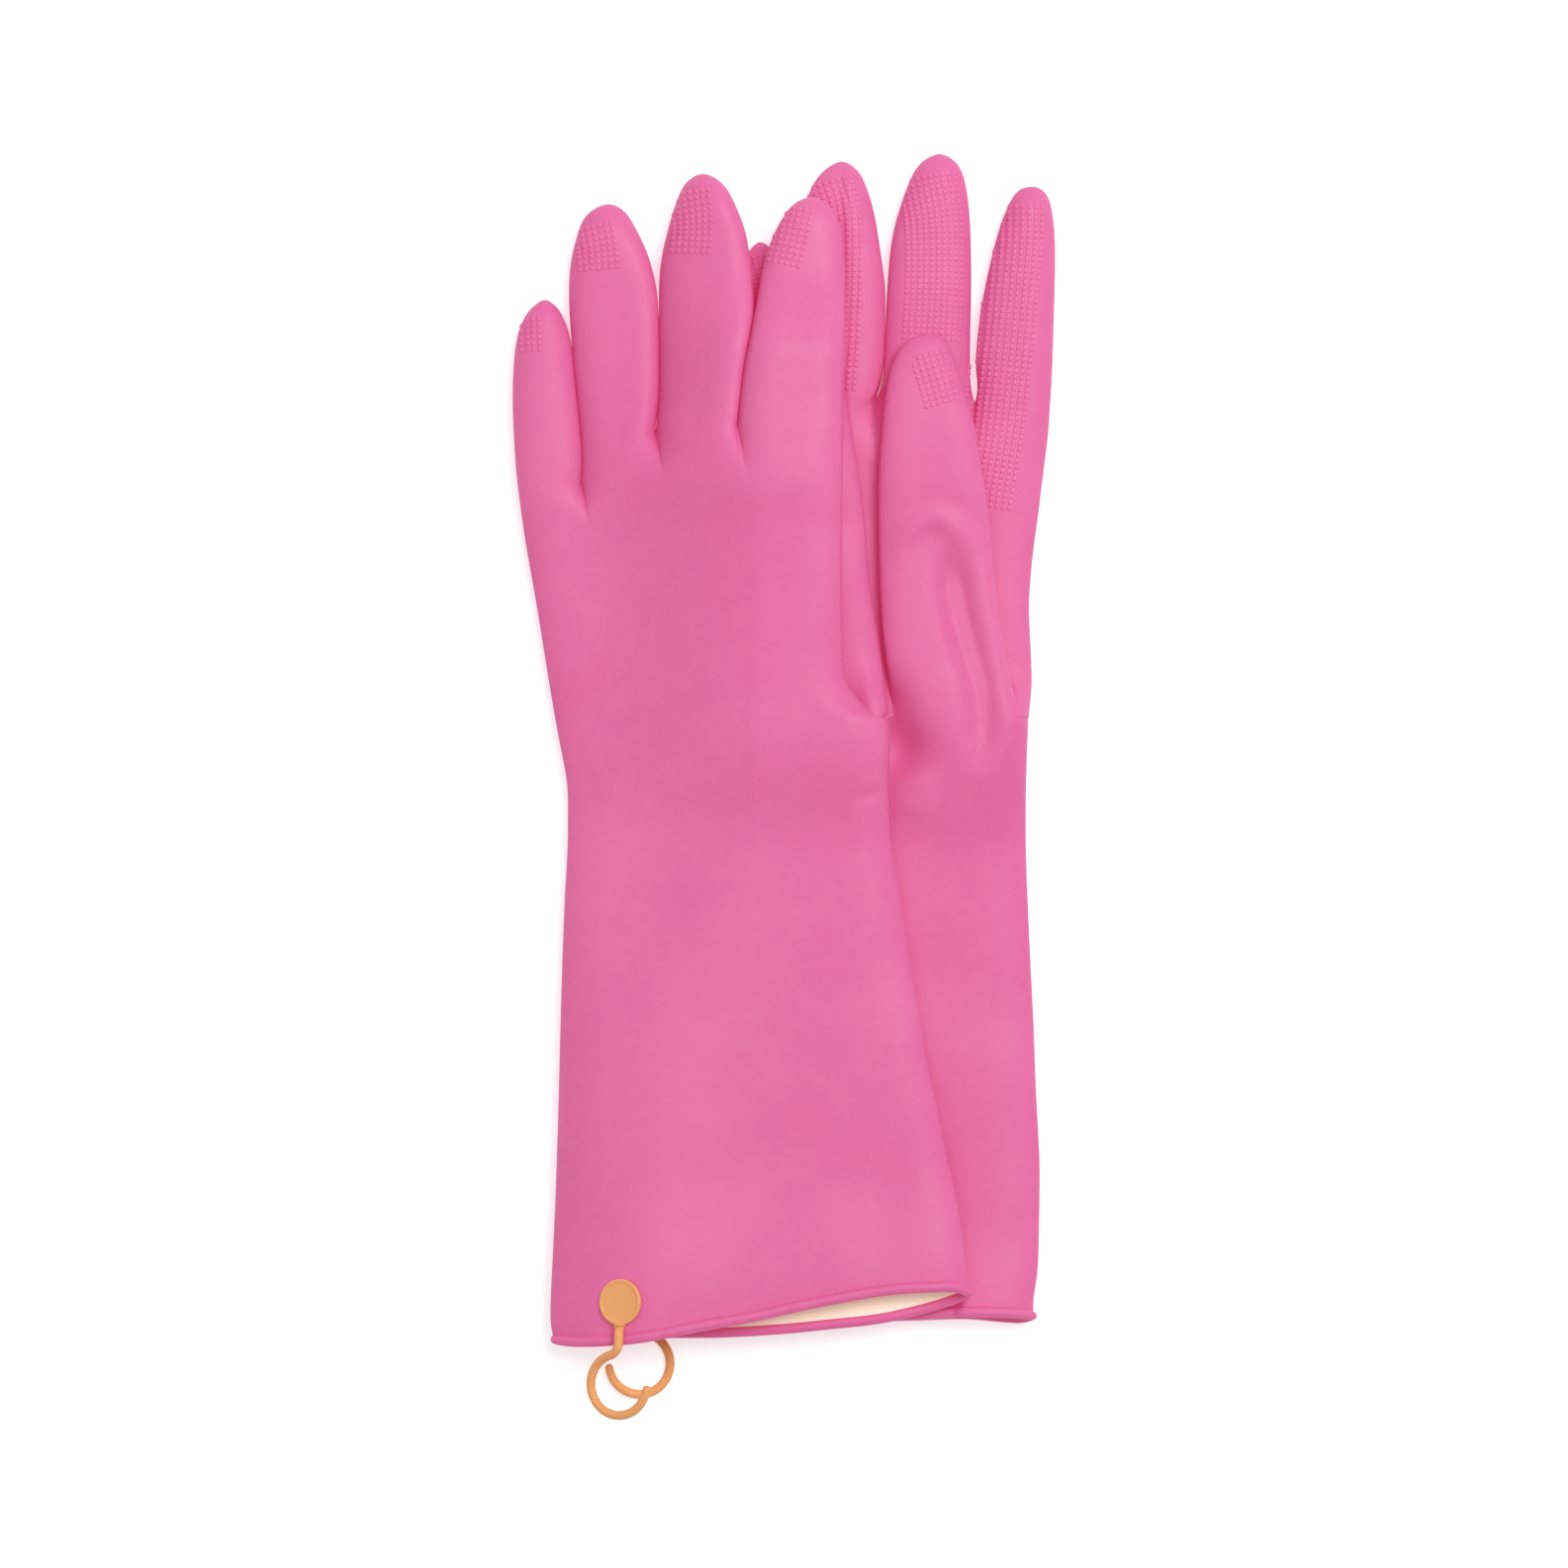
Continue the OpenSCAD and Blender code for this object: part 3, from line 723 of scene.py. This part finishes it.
def object_from(name, points, faces, material, normals=None):
    """points in drawing millimetres."""
    mesh = bpy.data.meshes.new(name)
    mesh.from_pydata(((np.asarray(points) + SHIFT) * MM).tolist(), [], faces)
    mesh.polygons.foreach_set("use_smooth", [True] * len(mesh.polygons))
    mesh.materials.append(material)
    if normals is not None:
        mesh.normals_split_custom_set_from_vertices(np.asarray(normals).tolist())
    mesh.update()
    obj = bpy.data.objects.new(name, mesh)
    bpy.context.scene.collection.objects.link(obj)
    return obj


def depth_under(tree, co, normals, most=3.0):
    """How much room there is under each point before the far wall."""
    room = []
    for p, n in zip(co, normals):
        n = Vector(n)
        hit = tree.ray_cast(Vector(p) - n * 0.05, -n, most)
        room.append(hit[3] if hit[0] is not None else most)
    return np.array(room)


PINCHED = 2.6       # mm between two walls, under which a lining is left out beyond the cuff


def split(mesh, prefix, suffix, material):
    """One object for each zone of a shell, with the whole shell's normals so that the cuts don't show."""
    co, normals, faces, zones = read(mesh)
    return by_zone(prefix, suffix, material, co, normals, faces, zones)


def split_lining(mesh, prefix, suffix, material, inset):
    """The same shell set inwards and turned inside out."""
    co, normals, faces, zones = read(mesh)
    room = depth_under(surface_tree(mesh)[0], co, normals)
    deeper = 0.4 * ease((co[:, 1] + 160) / 60)
    co = co - normals * np.minimum(inset + deeper, room * INSET_LIMIT)[:, None]
    pinched = (room < PINCHED) & (co[:, 1] > FORK_Y - 8)
    keep = [not pinched[list(f)].any() for f in faces]
    faces = [f[::-1] for f, k in zip(faces, keep) if k]
    return by_zone(prefix, suffix, material, co, -normals, faces, zones[keep])


def by_zone(prefix, suffix, material, co, normals, faces, zones):
    made = {}
    for index, zone in enumerate(ZONES):
        mine = [f for f, z in zip(faces, zones) if z == index]
        used = np.unique(np.concatenate([np.array(f) for f in mine]))
        renumber = np.zeros(len(co), int)
        renumber[used] = np.arange(len(used))
        own_faces = [tuple(renumber[list(f)].tolist()) for f in mine]
        made[zone] = object_from(f"{prefix}_{zone}{suffix}", co[used], own_faces, material, normals[used])
    return made


# ---- Materials -------------------------------------------------------------------------------------------

class Link:
    """A shader value that can be used in Python arithmetic."""

    def __init__(self, nodes, socket):
        self.nodes, self.socket = nodes, socket

    def _math(self, operation, first, second):
        return self.nodes.make("ShaderNodeMath", dict(operation=operation), {0: first, 1: second})

    def __add__(self, other):
        return self._math("ADD", self, other)

    def __radd__(self, other):
        return self._math("ADD", other, self)

    def __sub__(self, other):
        return self._math("SUBTRACT", self, other)

    def __rsub__(self, other):
        return self._math("SUBTRACT", other, self)

    def __mul__(self, other):
        return self._math("MULTIPLY", self, other)

    def __rmul__(self, other):
        return self._math("MULTIPLY", other, self)

    def __truediv__(self, other):
        return self._math("DIVIDE", self, other)


class Nodes:
    """Adds nodes to one material."""

    def __init__(self, name):
        self.material = bpy.data.materials.new(name)
        self.material.use_nodes = True
        self.tree = self.material.node_tree
        self.shader = self.tree.nodes["Principled BSDF"]

    def make(self, kind, settings=None, values=None, output=0):
        node = self.tree.nodes.new(kind)
        for key, value in (settings or {}).items():
            setattr(node, key, value)
        for key, value in (values or {}).items():
            self.put(node.inputs[key], value)
        return Link(self, node.outputs[output])

    def put(self, socket, value):
        if isinstance(value, Link):
            self.tree.links.new(value.socket, socket)
        else:
            socket.default_value = value

    def surface(self, **values):
        for key, value in values.items():
            self.put(self.shader.inputs[key.replace("_", " ")], value)
        return self.material

    def place(self):
        return self.make("ShaderNodeTexCoord", output="Object")

    def noise(self, place, scale, detail=3.0, roughness=0.5):
        values = {"Vector": place, "Scale": scale, "Detail": detail, "Roughness": roughness}
        return self.make("ShaderNodeTexNoise", None, values, "Fac")

    def blend(self, share, first, second):
        values = {"Factor": share, "A": first, "B": second}
        return self.make("ShaderNodeMix", dict(data_type="RGBA"), values, "Result")

    def fit(self, value, low, high, to_low, to_high):
        values = {"Value": value, "From Min": low, "From Max": high, "To Min": to_low, "To Max": to_high}
        return self.make("ShaderNodeMapRange", None, values, "Result")

    def bump(self, height, strength, distance):
        values = {"Height": height, "Strength": strength, "Distance": distance}
        return self.make("ShaderNodeBump", None, values, "Normal")


def colour(red, green, blue):
    """sRGB 0-255 to a linear colour."""
    def linear(v):
        v = v / 255
        return v / 12.92 if v <= 0.04045 else ((v + 0.055) / 1.055) ** 2.4
    return (linear(red), linear(green), linear(blue), 1.0)


def rubber(name, main, deep, roughness, grain, glow=(0, 0, 0)):
    """Dipped rubber: a satin skin with cloudy pigment and a fine pebble. Its last argument is a painted glow: a
    constant emission that paints light into the rubber, so that its shaded creases stay coloured instead of dark.
    """
    n = Nodes(name)
    place = n.place()
    clouds = n.noise(place, 22.0, 4.0, 0.55)
    mottle = n.noise(place, 260.0, 3.0, 0.6)
    shade = n.fit(clouds * 0.75 + mottle * 0.25, 0.35, 0.68, 0.0, 1.0)
    pebble = n.noise(place, 1800.0, 2.0, 0.5)
    return n.surface(
        Base_Color=n.blend(shade, main, deep),
        Roughness=n.fit(clouds * 0.5 + pebble * 0.5, 0.3, 0.7, roughness - 0.04, roughness + 0.05),
        Normal=n.bump(pebble * 0.6 + mottle * 0.4, grain, 0.0002),
        Specular_IOR_Level=0.22,
        # painted glow: a constant emission that keeps shaded creases coloured, though no lamp lights them
        Emission_Color=(*glow, 1.0),
        Emission_Strength=1.0,
    )


# Painted glows: constant emission that paints red light into the shaded creases of the pink rubber and its grip, and a
# warm light into the cream lining
PINK_PAINTED_GLOW, CREAM_PAINTED_GLOW = (0.215, 0.0, 0.022), (0.1, 0.075, 0.055)
pink = rubber("pink_glove_rubber", colour(185, 105, 150), colour(178, 94, 142), 0.48, 0.10, PINK_PAINTED_GLOW)
grip_pink = rubber("pink_grip_rubber", colour(191, 109, 154), colour(184, 100, 147), 0.42, 0.06, PINK_PAINTED_GLOW)
cream = rubber("cream_lining", colour(252, 238, 222), colour(249, 229, 209), 0.62, 0.25, CREAM_PAINTED_GLOW)
peach = rubber("peach_hook_rubber", colour(225, 159, 102), colour(218, 149, 92), 0.42, 0.08)


# ---- Gloves ----------------------------------------------------------------------------------------------

def bead(name, path, radius, material, sides=14):
    """The rolled rim: a tube round the mouth, drawn about the end of the wall."""
    n = len(path)
    points = []
    for i in range(n):
        forward = path[(i + 1) % n] - path[i - 1]
        forward /= np.linalg.norm(forward)
        back = np.array([0.0, 1.0, 0.0])
        back -= forward * (back @ forward)
        back /= np.linalg.norm(back)
        out = np.cross(forward, back)
        wide = radius * (0.55 + 0.45 * abs(forward[0]))     # thinner where it turns at both sides
        for k in range(sides):
            a = 2 * math.pi * k / sides
            direction = math.cos(a) * back + math.sin(a) * out
            points.append(path[i] + wide * direction)
    faces = []
    for i in range(n):
        here, following = i * sides, (i + 1) % n * sides
        for k in range(sides):
            j = (k + 1) % sides
            faces.append((here + k, following + k, following + j, here + j))
    return object_from(name, points, faces, material)


def mouth_path(mesh):
    """The open edge of the shell, in order."""
    work = bmesh.new()
    work.from_mesh(mesh)
    edges = [e for e in work.edges if e.is_boundary]
    follow = {}
    for e in edges:
        for v in e.verts:
            follow.setdefault(v, []).append(e.other_vert(v))
    start = next(iter(follow))
    path, before, here = [start], None, start
    while True:
        nxt = follow[here][0] if follow[here][0] is not before else follow[here][1]
        if nxt is start:
            break
        path.append(nxt)
        before, here = here, nxt
    points = np.array([v.co for v in path], float)
    work.free()
    return points


# Patches of raised grip: columns run down from the tip, side by side from the patch's border line.
# Each is (border line, columns, pitch across, pitch along, pad width, pad length, lowest x).
THUMB_GRIP = [(56.6, 126.5), (54.4, 134), (52, 142)]
INDEX_GRIP = [(74.2, 91), (78, 115), (81, 140), (83, 160), (84.6, 178), (85, 191)]
MIDDLE_GRIP = [(57.6, 146), (58.6, 165), (58.4, 185), (55.8, 202)]
RING_GRIP = [(23.2, 130), (24.6, 150), (25.4, 175), (24.6, 190), (21.8, 200.5)]
NO_LIMIT = -99
GRIP_OVER = {
    "left": [([(-79.6, 143), (-80, 154.5)], 4, 2.0, 2.0, 1.4, 1.4, NO_LIMIT),
             ([(-54.3, 170), (-55, 178), (-56.4, 186)], 7, 2.05, 2.05, 1.45, 1.45, NO_LIMIT),
             ([(-24, 174), (-23.4, 184), (-24.4, 195)], 7, 2.05, 2.05, 1.45, 1.45, NO_LIMIT),
             ([(5.2, 169), (7.4, 178), (9.6, 187.5)], 6, 2.05, 2.05, 1.45, 1.45, NO_LIMIT)],
    "right": [(INDEX_GRIP, 10, 2.15, 1.95, 1.35, 1.75, 58.5),
              (MIDDLE_GRIP, 10, 2.0, 1.9, 1.4, 1.4, 35),
              (RING_GRIP, 9, 2.1, 1.95, 1.4, 1.5, 5),
              ([(-2.4, 150), (-2.8, 165), (-4.6, 174.5)], 7, 1.75, 1.75, 1.15, 1.15, -17),
              (THUMB_GRIP, 6, 2.05, 2.0, 1.45, 1.45, 42.5)],
}
GRIP_HIGH, GRIP_ROOT = 0.42, 0.12   # how far a pad stands out of the rubber, and how far it starts inside


def palm_side_patches(name):
    """Grip over the hidden palm side of each finger of a glove that lies palm down."""
    patches = []
    for left, right in GLOVES[name]["outlines"].values():
        a, b = round_outline(left, right, np.linspace(0.16, 0.86, 8))
        columns = int(np.linalg.norm(a - b, axis=1).max() * 0.72 / 1.85)
        patches.append(((b + (a - b) * 0.14).tolist(), columns, 1.85, 1.75, 1.2, 1.25, NO_LIMIT))
    return patches


def pad_places(border, columns, across_pitch, along_pitch):
    """Plan place of every pad of a patch, with the direction of its column."""
    line = smooth_line(border, 24)
    run = running_length(line)

    def at(distance):
        return np.array([np.interp(distance, run, line[:, k]) for k in (0, 1)])

    for step in np.arange(0, run[-1], along_pitch):
        spot = at(step)
        ahead = at(step + 2) - spot
        if np.linalg.norm(ahead) < 0.5:
            ahead = spot - at(step - 2)
        ahead /= np.linalg.norm(ahead)
        aside = np.array([-ahead[1], ahead[0]])
        for column in range(columns):
            yield spot + aside * across_pitch * column, ahead


def add_pad(points, faces, place, normal, ahead, width, length):
    """One small raised pad with sloping sides."""
    along_way = Vector((*ahead, 0))
    along_way = (along_way - normal * along_way.dot(normal)).normalized()
    over_way = along_way.cross(normal)
    first = len(points)
    for rise, shrink in ((-GRIP_ROOT, 1.0), (GRIP_HIGH * 0.75, 0.86), (GRIP_HIGH, 0.66)):
        for a, b in ((-1, -1), (1, -1), (1, 1), (-1, 1)):
            corner = over_way * (a * width / 2 * shrink) + along_way * (b * length / 2 * shrink)
            points.append(place + normal * rise + corner)
    for ring in (first, first + 4):
        for i in range(4):
            j = (i + 1) % 4
            faces.append((ring + i, ring + j, ring + 4 + j, ring + 4 + i))
    faces.append((first + 8, first + 9, first + 10, first + 11))


def grip(side, mesh, patches, over):
    """Rows of small raised pads set on the rubber. Returns one object for each zone."""
    tree, zones = surface_tree(mesh)
    made = {}
    sign = 1 if over else -1
    for border, columns, across_pitch, along_pitch, width, length, lowest in patches:
        on_thumb = border == THUMB_GRIP
        for (x, y), ahead in pad_places(border, columns, across_pitch, along_pitch):
            if x < lowest:
                continue
            hit, normal, face, _ = tree.ray_cast(Vector((x, y, 100 * sign)), Vector((0, 0, -sign)))
            if hit is None or normal.z * sign < 0.3 or (ZONES[zones[face]] == "thumb") != on_thumb:
                continue
            points, faces = made.setdefault(ZONES[zones[face]], ([], []))
            add_pad(points, faces, hit, normal, ahead, width, length)
    where = "grip" if over else "palm_grip"
    pieces = {}
    for zone, (points, faces) in made.items():
        places = np.array([tuple(p) for p in points])
        pieces[zone] = object_from(f"{side}_{zone}_{where}", places, faces, grip_pink)
    return pieces


LINING_INSET, RIM_RADIUS = 0.7, 1.8


def glove(side):
    fine = subdivided(build_shell(side), 2)
    press_folds(side, fine)
    coarse = subdivided(build_shell(side), 1)
    settle(coarse, fine)
    skin = split(fine, side, "_skin", pink)
    lining = split_lining(coarse, side, "_inner_lining", cream, LINING_INSET)
    rim = bead(f"{side}_rolled_rim", mouth_path(fine), RIM_RADIUS, pink)
    grips = [grip(side, fine, GRIP_OVER[side], True)]
    if side == "left":
        grips.append(grip(side, fine, palm_side_patches(side), False))
    return dict(skin=skin, lining=lining, rim=rim, grips=grips)


gloves = {side: glove(side) for side in ("left", "right")}


# ---- What each piece moves with --------------------------------------------------------------------------

JOINT = {j["name"]: j for j in frame["joints"]}


def joint_line(name):
    return Vector(JOINT[name]["pos_m"])


def carry(piece, side, zone):
    """Puts a piece of skin, lining or grip on its body, bending at the wrist or knuckle it crosses."""
    hand, finger = f"{side}_glove", f"{side}_{zone}_finger"
    if (side, zone) == ("left", "cuff"):
        hinge = joint_line("left_cuff_lift")
        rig.blend(piece, "left_cuff", hand,
                 start=hinge + Vector((0, -0.020, 0)), end=hinge + Vector((0, 0.020, 0)))
    elif finger in frame["bodies"]:
        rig.blend(piece, hand, finger, **finger_bend(side, zone))
    else:
        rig.ride(piece, hand)


def attach(side):
    g = gloves[side]
    for layer in ("skin", "lining"):
        for zone, piece in g[layer].items():
            carry(piece, side, zone)
            suffix = "" if layer == "skin" else "_lining"
            if zone == "cuff":
                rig.replaces(piece, f"{side}_forearm{suffix}", f"{side}_wrist{suffix}")
            elif zone == "hand":
                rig.replaces(piece, f"{side}_palm{suffix}")
            else:
                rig.replaces(piece, f"{side}_{zone}{suffix}")
            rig.slot(piece, "glove_rubber" if layer == "skin" else "lining")
    for patches in g["grips"]:
        for zone, piece in patches.items():
            carry(piece, side, zone)
            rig.slot(piece, "glove_rubber")
    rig.ride(g["rim"], "left_cuff" if side == "left" else "right_glove")
    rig.replaces(g["rim"], f"{side}_rim")
    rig.slot(g["rim"], "glove_rubber")


def finger_bend(side, finger):
    """The stretch of a finger, square to its root line, over which it bends."""
    g = GLOVES[side]
    roots = [g["little_edge"][-1], *g["crotches"], g["index_edge"][-1]]
    i = FINGERS.index(finger)
    a, b = np.array(roots[i], float), np.array(roots[i + 1], float)
    square = np.array([-(b - a)[1], (b - a)[0]]) / np.linalg.norm(b - a)
    middle = (a + b) / 2
    z = joint_line(f"{side}_{finger}_lift").z / MM
    start = np.array([*middle, z])
    end = np.array([*(middle + square * 22), z])
    return dict(start=Vector((start + SHIFT * [1, 1, 0]) * MM), end=Vector((end + SHIFT * [1, 1, 0]) * MM))


for side in gloves:
    attach(side)


# ---- Hanging hooks ---------------------------------------------------------------------------------------

def pad_plane(node):
    """Centre and axes of a round CAD pad: across, along and its normal."""
    co = np.array([v.co for v in frame["nodes"][node].data.vertices], float)
    centre = (co.min(0) + co.max(0)) / 2
    _, _, axes = np.linalg.svd(co - co.mean(0), full_matrices=False)
    normal = axes[2] * np.sign(axes[2][2])
    reach = np.array([0, 1.0, 0]) - normal * normal[1]
    reach /= np.linalg.norm(reach)
    return centre, np.cross(reach, normal), reach, normal


def rings_of_quads(rings, sides):
    """Faces of a tube of points laid down ring by ring."""
    faces = []
    for here in range(0, (rings - 1) * sides, sides):
        for k in range(sides):
            j = (k + 1) % sides
            faces.append((here + k, here + j, here + sides + j, here + sides + k))
    return faces


def turned(name, profile, plane, material, turns=96):
    """A round piece turned from a profile of (radius, height) in mm, in a plane."""
    centre, lean, reach, normal = plane
    points = []
    for r, h in profile:
        for k in range(turns):
            a = 2 * math.pi * k / turns
            points.append(centre / MM + r * (math.cos(a) * lean + math.sin(a) * reach) + h * normal)
    last = (len(profile) - 1) * turns
    faces = rings_of_quads(len(profile), turns)
    faces.append(tuple(range(turns))[::-1])
    faces.append(tuple(range(last, last + turns)))
    return object_from(name, np.array(points) - SHIFT, faces, material)


RING_RADIUS, BEND_RADIUS = 10.2, 4.5
JOIN, FREE_END = math.radians(110), math.radians(352)   # where the open ring starts and ends
PAD_TO_RING = 26.8                  # from the middle of the disc to the middle of the ring
NECK_END, BEND_END = 0.12, 0.22     # shares of the hook's run
NECK_START = 8.0                    # from the middle of the disc
TABLE_CLEAR = 1.5                   # lowest height of the middle of the rod
ROD_RADIUS, ROOT_SWELL, TIP_TAPER = 1.5, 0.7, 0.12
DISC_RADIUS, DISC_HALF = 7.5, 0.75  # half is half of its thickness
BEND_FROM, BEND_TO = 3, 16          # points of the hook's run between which its neck bends


def hook_path(side, plane, count=150):
    """The middle of a hook in mm: out of the disc, over the rim, round a small bend and into the ring."""
    centre, lean, reach, _ = plane
    curl, face, over, droop = dict(left=(1, 1, 2.7, 4.0), right=(-1, -1, 2.6, 3.0))[side]
    join_x = RING_RADIUS * math.cos(JOIN) + BEND_RADIUS * (1 + math.cos(JOIN))
    bend_y = RING_RADIUS * math.sin(JOIN) + BEND_RADIUS * math.sin(JOIN)
    neck_y = PAD_TO_RING - NECK_START
    points = []
    for t in np.linspace(-0.02, 1, count):
        if t < NECK_END:
            p = (join_x, neck_y + (bend_y - neck_y) * t / NECK_END)
        elif t < BEND_END:
            a = -(math.pi - JOIN) * (t - NECK_END) / (BEND_END - NECK_END)
            p = (join_x - BEND_RADIUS + BEND_RADIUS * math.cos(a), bend_y + BEND_RADIUS * math.sin(a))
        else:
            a = JOIN + (FREE_END - JOIN) * (t - BEND_END) / (1 - BEND_END)
            p = (RING_RADIUS * math.cos(a), RING_RADIUS * math.sin(a))
        raised = face * over * ease(t / 0.06) * (1 - 0.6 * ease((t - 0.14) / 0.2))
        off = raised - droop * ease((t - 0.1) / 0.5)
        flat = curl * (p[0] - join_x) * lean + (p[1] - PAD_TO_RING) * reach
        point = centre / MM + flat + np.array([0, 0, off])
        points.append([point[0], point[1], max(point[2], TABLE_CLEAR)])
    return np.array(points)


def tube(name, path, radii, material, sides=20):
    """A round rod along a path, with a rounded free end."""
    forward = np.gradient(path, axis=0)
    forward /= np.linalg.norm(forward, axis=1)[:, None]
    across_way = np.stack([forward[:, 1], -forward[:, 0], 0 * forward[:, 0]], -1)
    across_way /= np.linalg.norm(across_way, axis=1)[:, None]
    up = np.cross(across_way, forward)
    rings = [(p, r, a, u) for p, r, a, u in zip(path, radii, across_way, up)]
    for lean in np.radians([20, 40, 58, 74, 86]):
        middle = path[-1] + forward[-1] * radii[-1] * math.sin(lean)
        rings.append((middle, radii[-1] * math.cos(lean), across_way[-1], up[-1]))
    angles = np.linspace(0, 2 * math.pi, sides, endpoint=False)
    points = np.concatenate([p + r * (np.cos(angles)[:, None] * a + np.sin(angles)[:, None] * u)
                             for p, r, a, u in rings])
    faces = rings_of_quads(len(rings), sides)
    faces.append(tuple(range((len(rings) - 1) * sides, len(rings) * sides)))
    faces.append(tuple(range(sides))[::-1])
    return object_from(name, points - SHIFT, faces, material)


def disc_profile(side):
    """A disc with a rounded edge and a low border round its sunk face. It faces down on the right glove."""
    r, t = DISC_RADIUS, DISC_HALF
    profile = [(r - 0.5, -t), (r - 0.12, -t + 0.12), (r, -t + 0.45), (r, t - 0.35), (r - 0.15, t - 0.08),
               (r - 0.5, t), (r - 0.95, t - 0.05), (r - 1.15, t - 0.25), (r - 1.5, t - 0.3), (0.4, t - 0.28)]
    if side == "right":
        profile = [(a, -b) for a, b in profile][::-1]
    return profile


def hanging_hook(side):
    plane = pad_plane(f"{side}_hook_pad")
    pad = turned(f"{side}_hook_disc", disc_profile(side), plane, peach)
    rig.ride(pad, "left_cuff" if side == "left" else "right_glove")
    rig.replaces(pad, f"{side}_hook_pad")
    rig.slot(pad, "hook_rubber")
    path = hook_path(side, plane)
    run = np.linspace(0, 1, len(path))
    radii = ROD_RADIUS + ROOT_SWELL * np.exp(-(run / 0.025) ** 2) - TIP_TAPER * ease((run - 0.85) / 0.15)
    arm = tube(f"{side}_hanging_hook", path, radii, peach)
    root = Vector(path[BEND_FROM] * MM)
    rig.blend(arm, "left_cuff" if side == "left" else "right_glove", f"{side}_hook", start=root,
             end=Vector(path[BEND_TO] * MM))
    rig.replaces(arm, f"{side}_hook_arm")
    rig.slot(arm, "hook_rubber")


for side in ("left", "right"):
    hanging_hook(side)


# ---- Table, light and camera -----------------------------------------------------------------------------

TABLE_Z = -0.0004                   # low enough for the raised grip under the gloves


def table_top():
    mesh = bpy.data.meshes.new("table")
    mesh.from_pydata([(-4, -4, 0), (4, -4, 0), (4, 4, 0), (-4, 4, 0)], [], [(0, 1, 2, 3)])
    n = Nodes("white_table")
    white = n.blend(n.noise(n.place(), 3.0), colour(205, 205, 205), colour(200, 200, 202))
    n.surface(Base_Color=white, Roughness=0.9, Emission_Color=(1, 1, 1, 1), Emission_Strength=0.56)
    mesh.materials.append(n.material)
    obj = bpy.data.objects.new("table", mesh)
    bpy.context.scene.collection.objects.link(obj)
    obj.location.z = TABLE_Z
    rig.stage(obj)


def area_light(name, location, target, size, power):
    data = bpy.data.lights.new(name, "AREA")
    data.shape, data.size, data.energy = "DISK", size, power
    obj = bpy.data.objects.new(name, data)
    obj.location = location
    obj.rotation_euler = (Vector(target) - Vector(location)).to_track_quat("-Z", "Y").to_euler()
    bpy.context.scene.collection.objects.link(obj)


table_top()
area_light("big_softbox", (0.62, 0.6, 1.75), (0, 0, 0), 1.0, 29)
area_light("fill_softbox", (-0.7, 0.5, 1.9), (0, 0, 0), 1.6, 6)
world = bpy.data.worlds.new("studio")
world.use_nodes = True
world.node_tree.nodes["Background"].inputs["Color"].default_value = (1, 1, 1, 1)
world.node_tree.nodes["Background"].inputs["Strength"].default_value = 0.46
bpy.context.scene.world = world
bpy.context.scene.view_settings.view_transform = "Standard"

FRAME_HEIGHT = 0.5167               # metres from the bottom to the top of the view, at the table
DISTANCE = 1.9
SENSOR = 36
camera_data = bpy.data.cameras.new("camera")
camera_data.sensor_width = camera_data.sensor_height = SENSOR
camera_data.lens = SENSOR * DISTANCE / FRAME_HEIGHT
camera = bpy.data.objects.new("camera", camera_data)
centre = (Vector(cad_low) + Vector(cad_high)) / 2
camera.location = (centre.x, centre.y, DISTANCE)
bpy.context.scene.collection.objects.link(camera)
bpy.context.scene.camera = camera

low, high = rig.bounds()
json.dump({"cad": [list(cad_low), list(cad_high)], "visual": [list(low), list(high)]}, open("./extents.json", "w"))
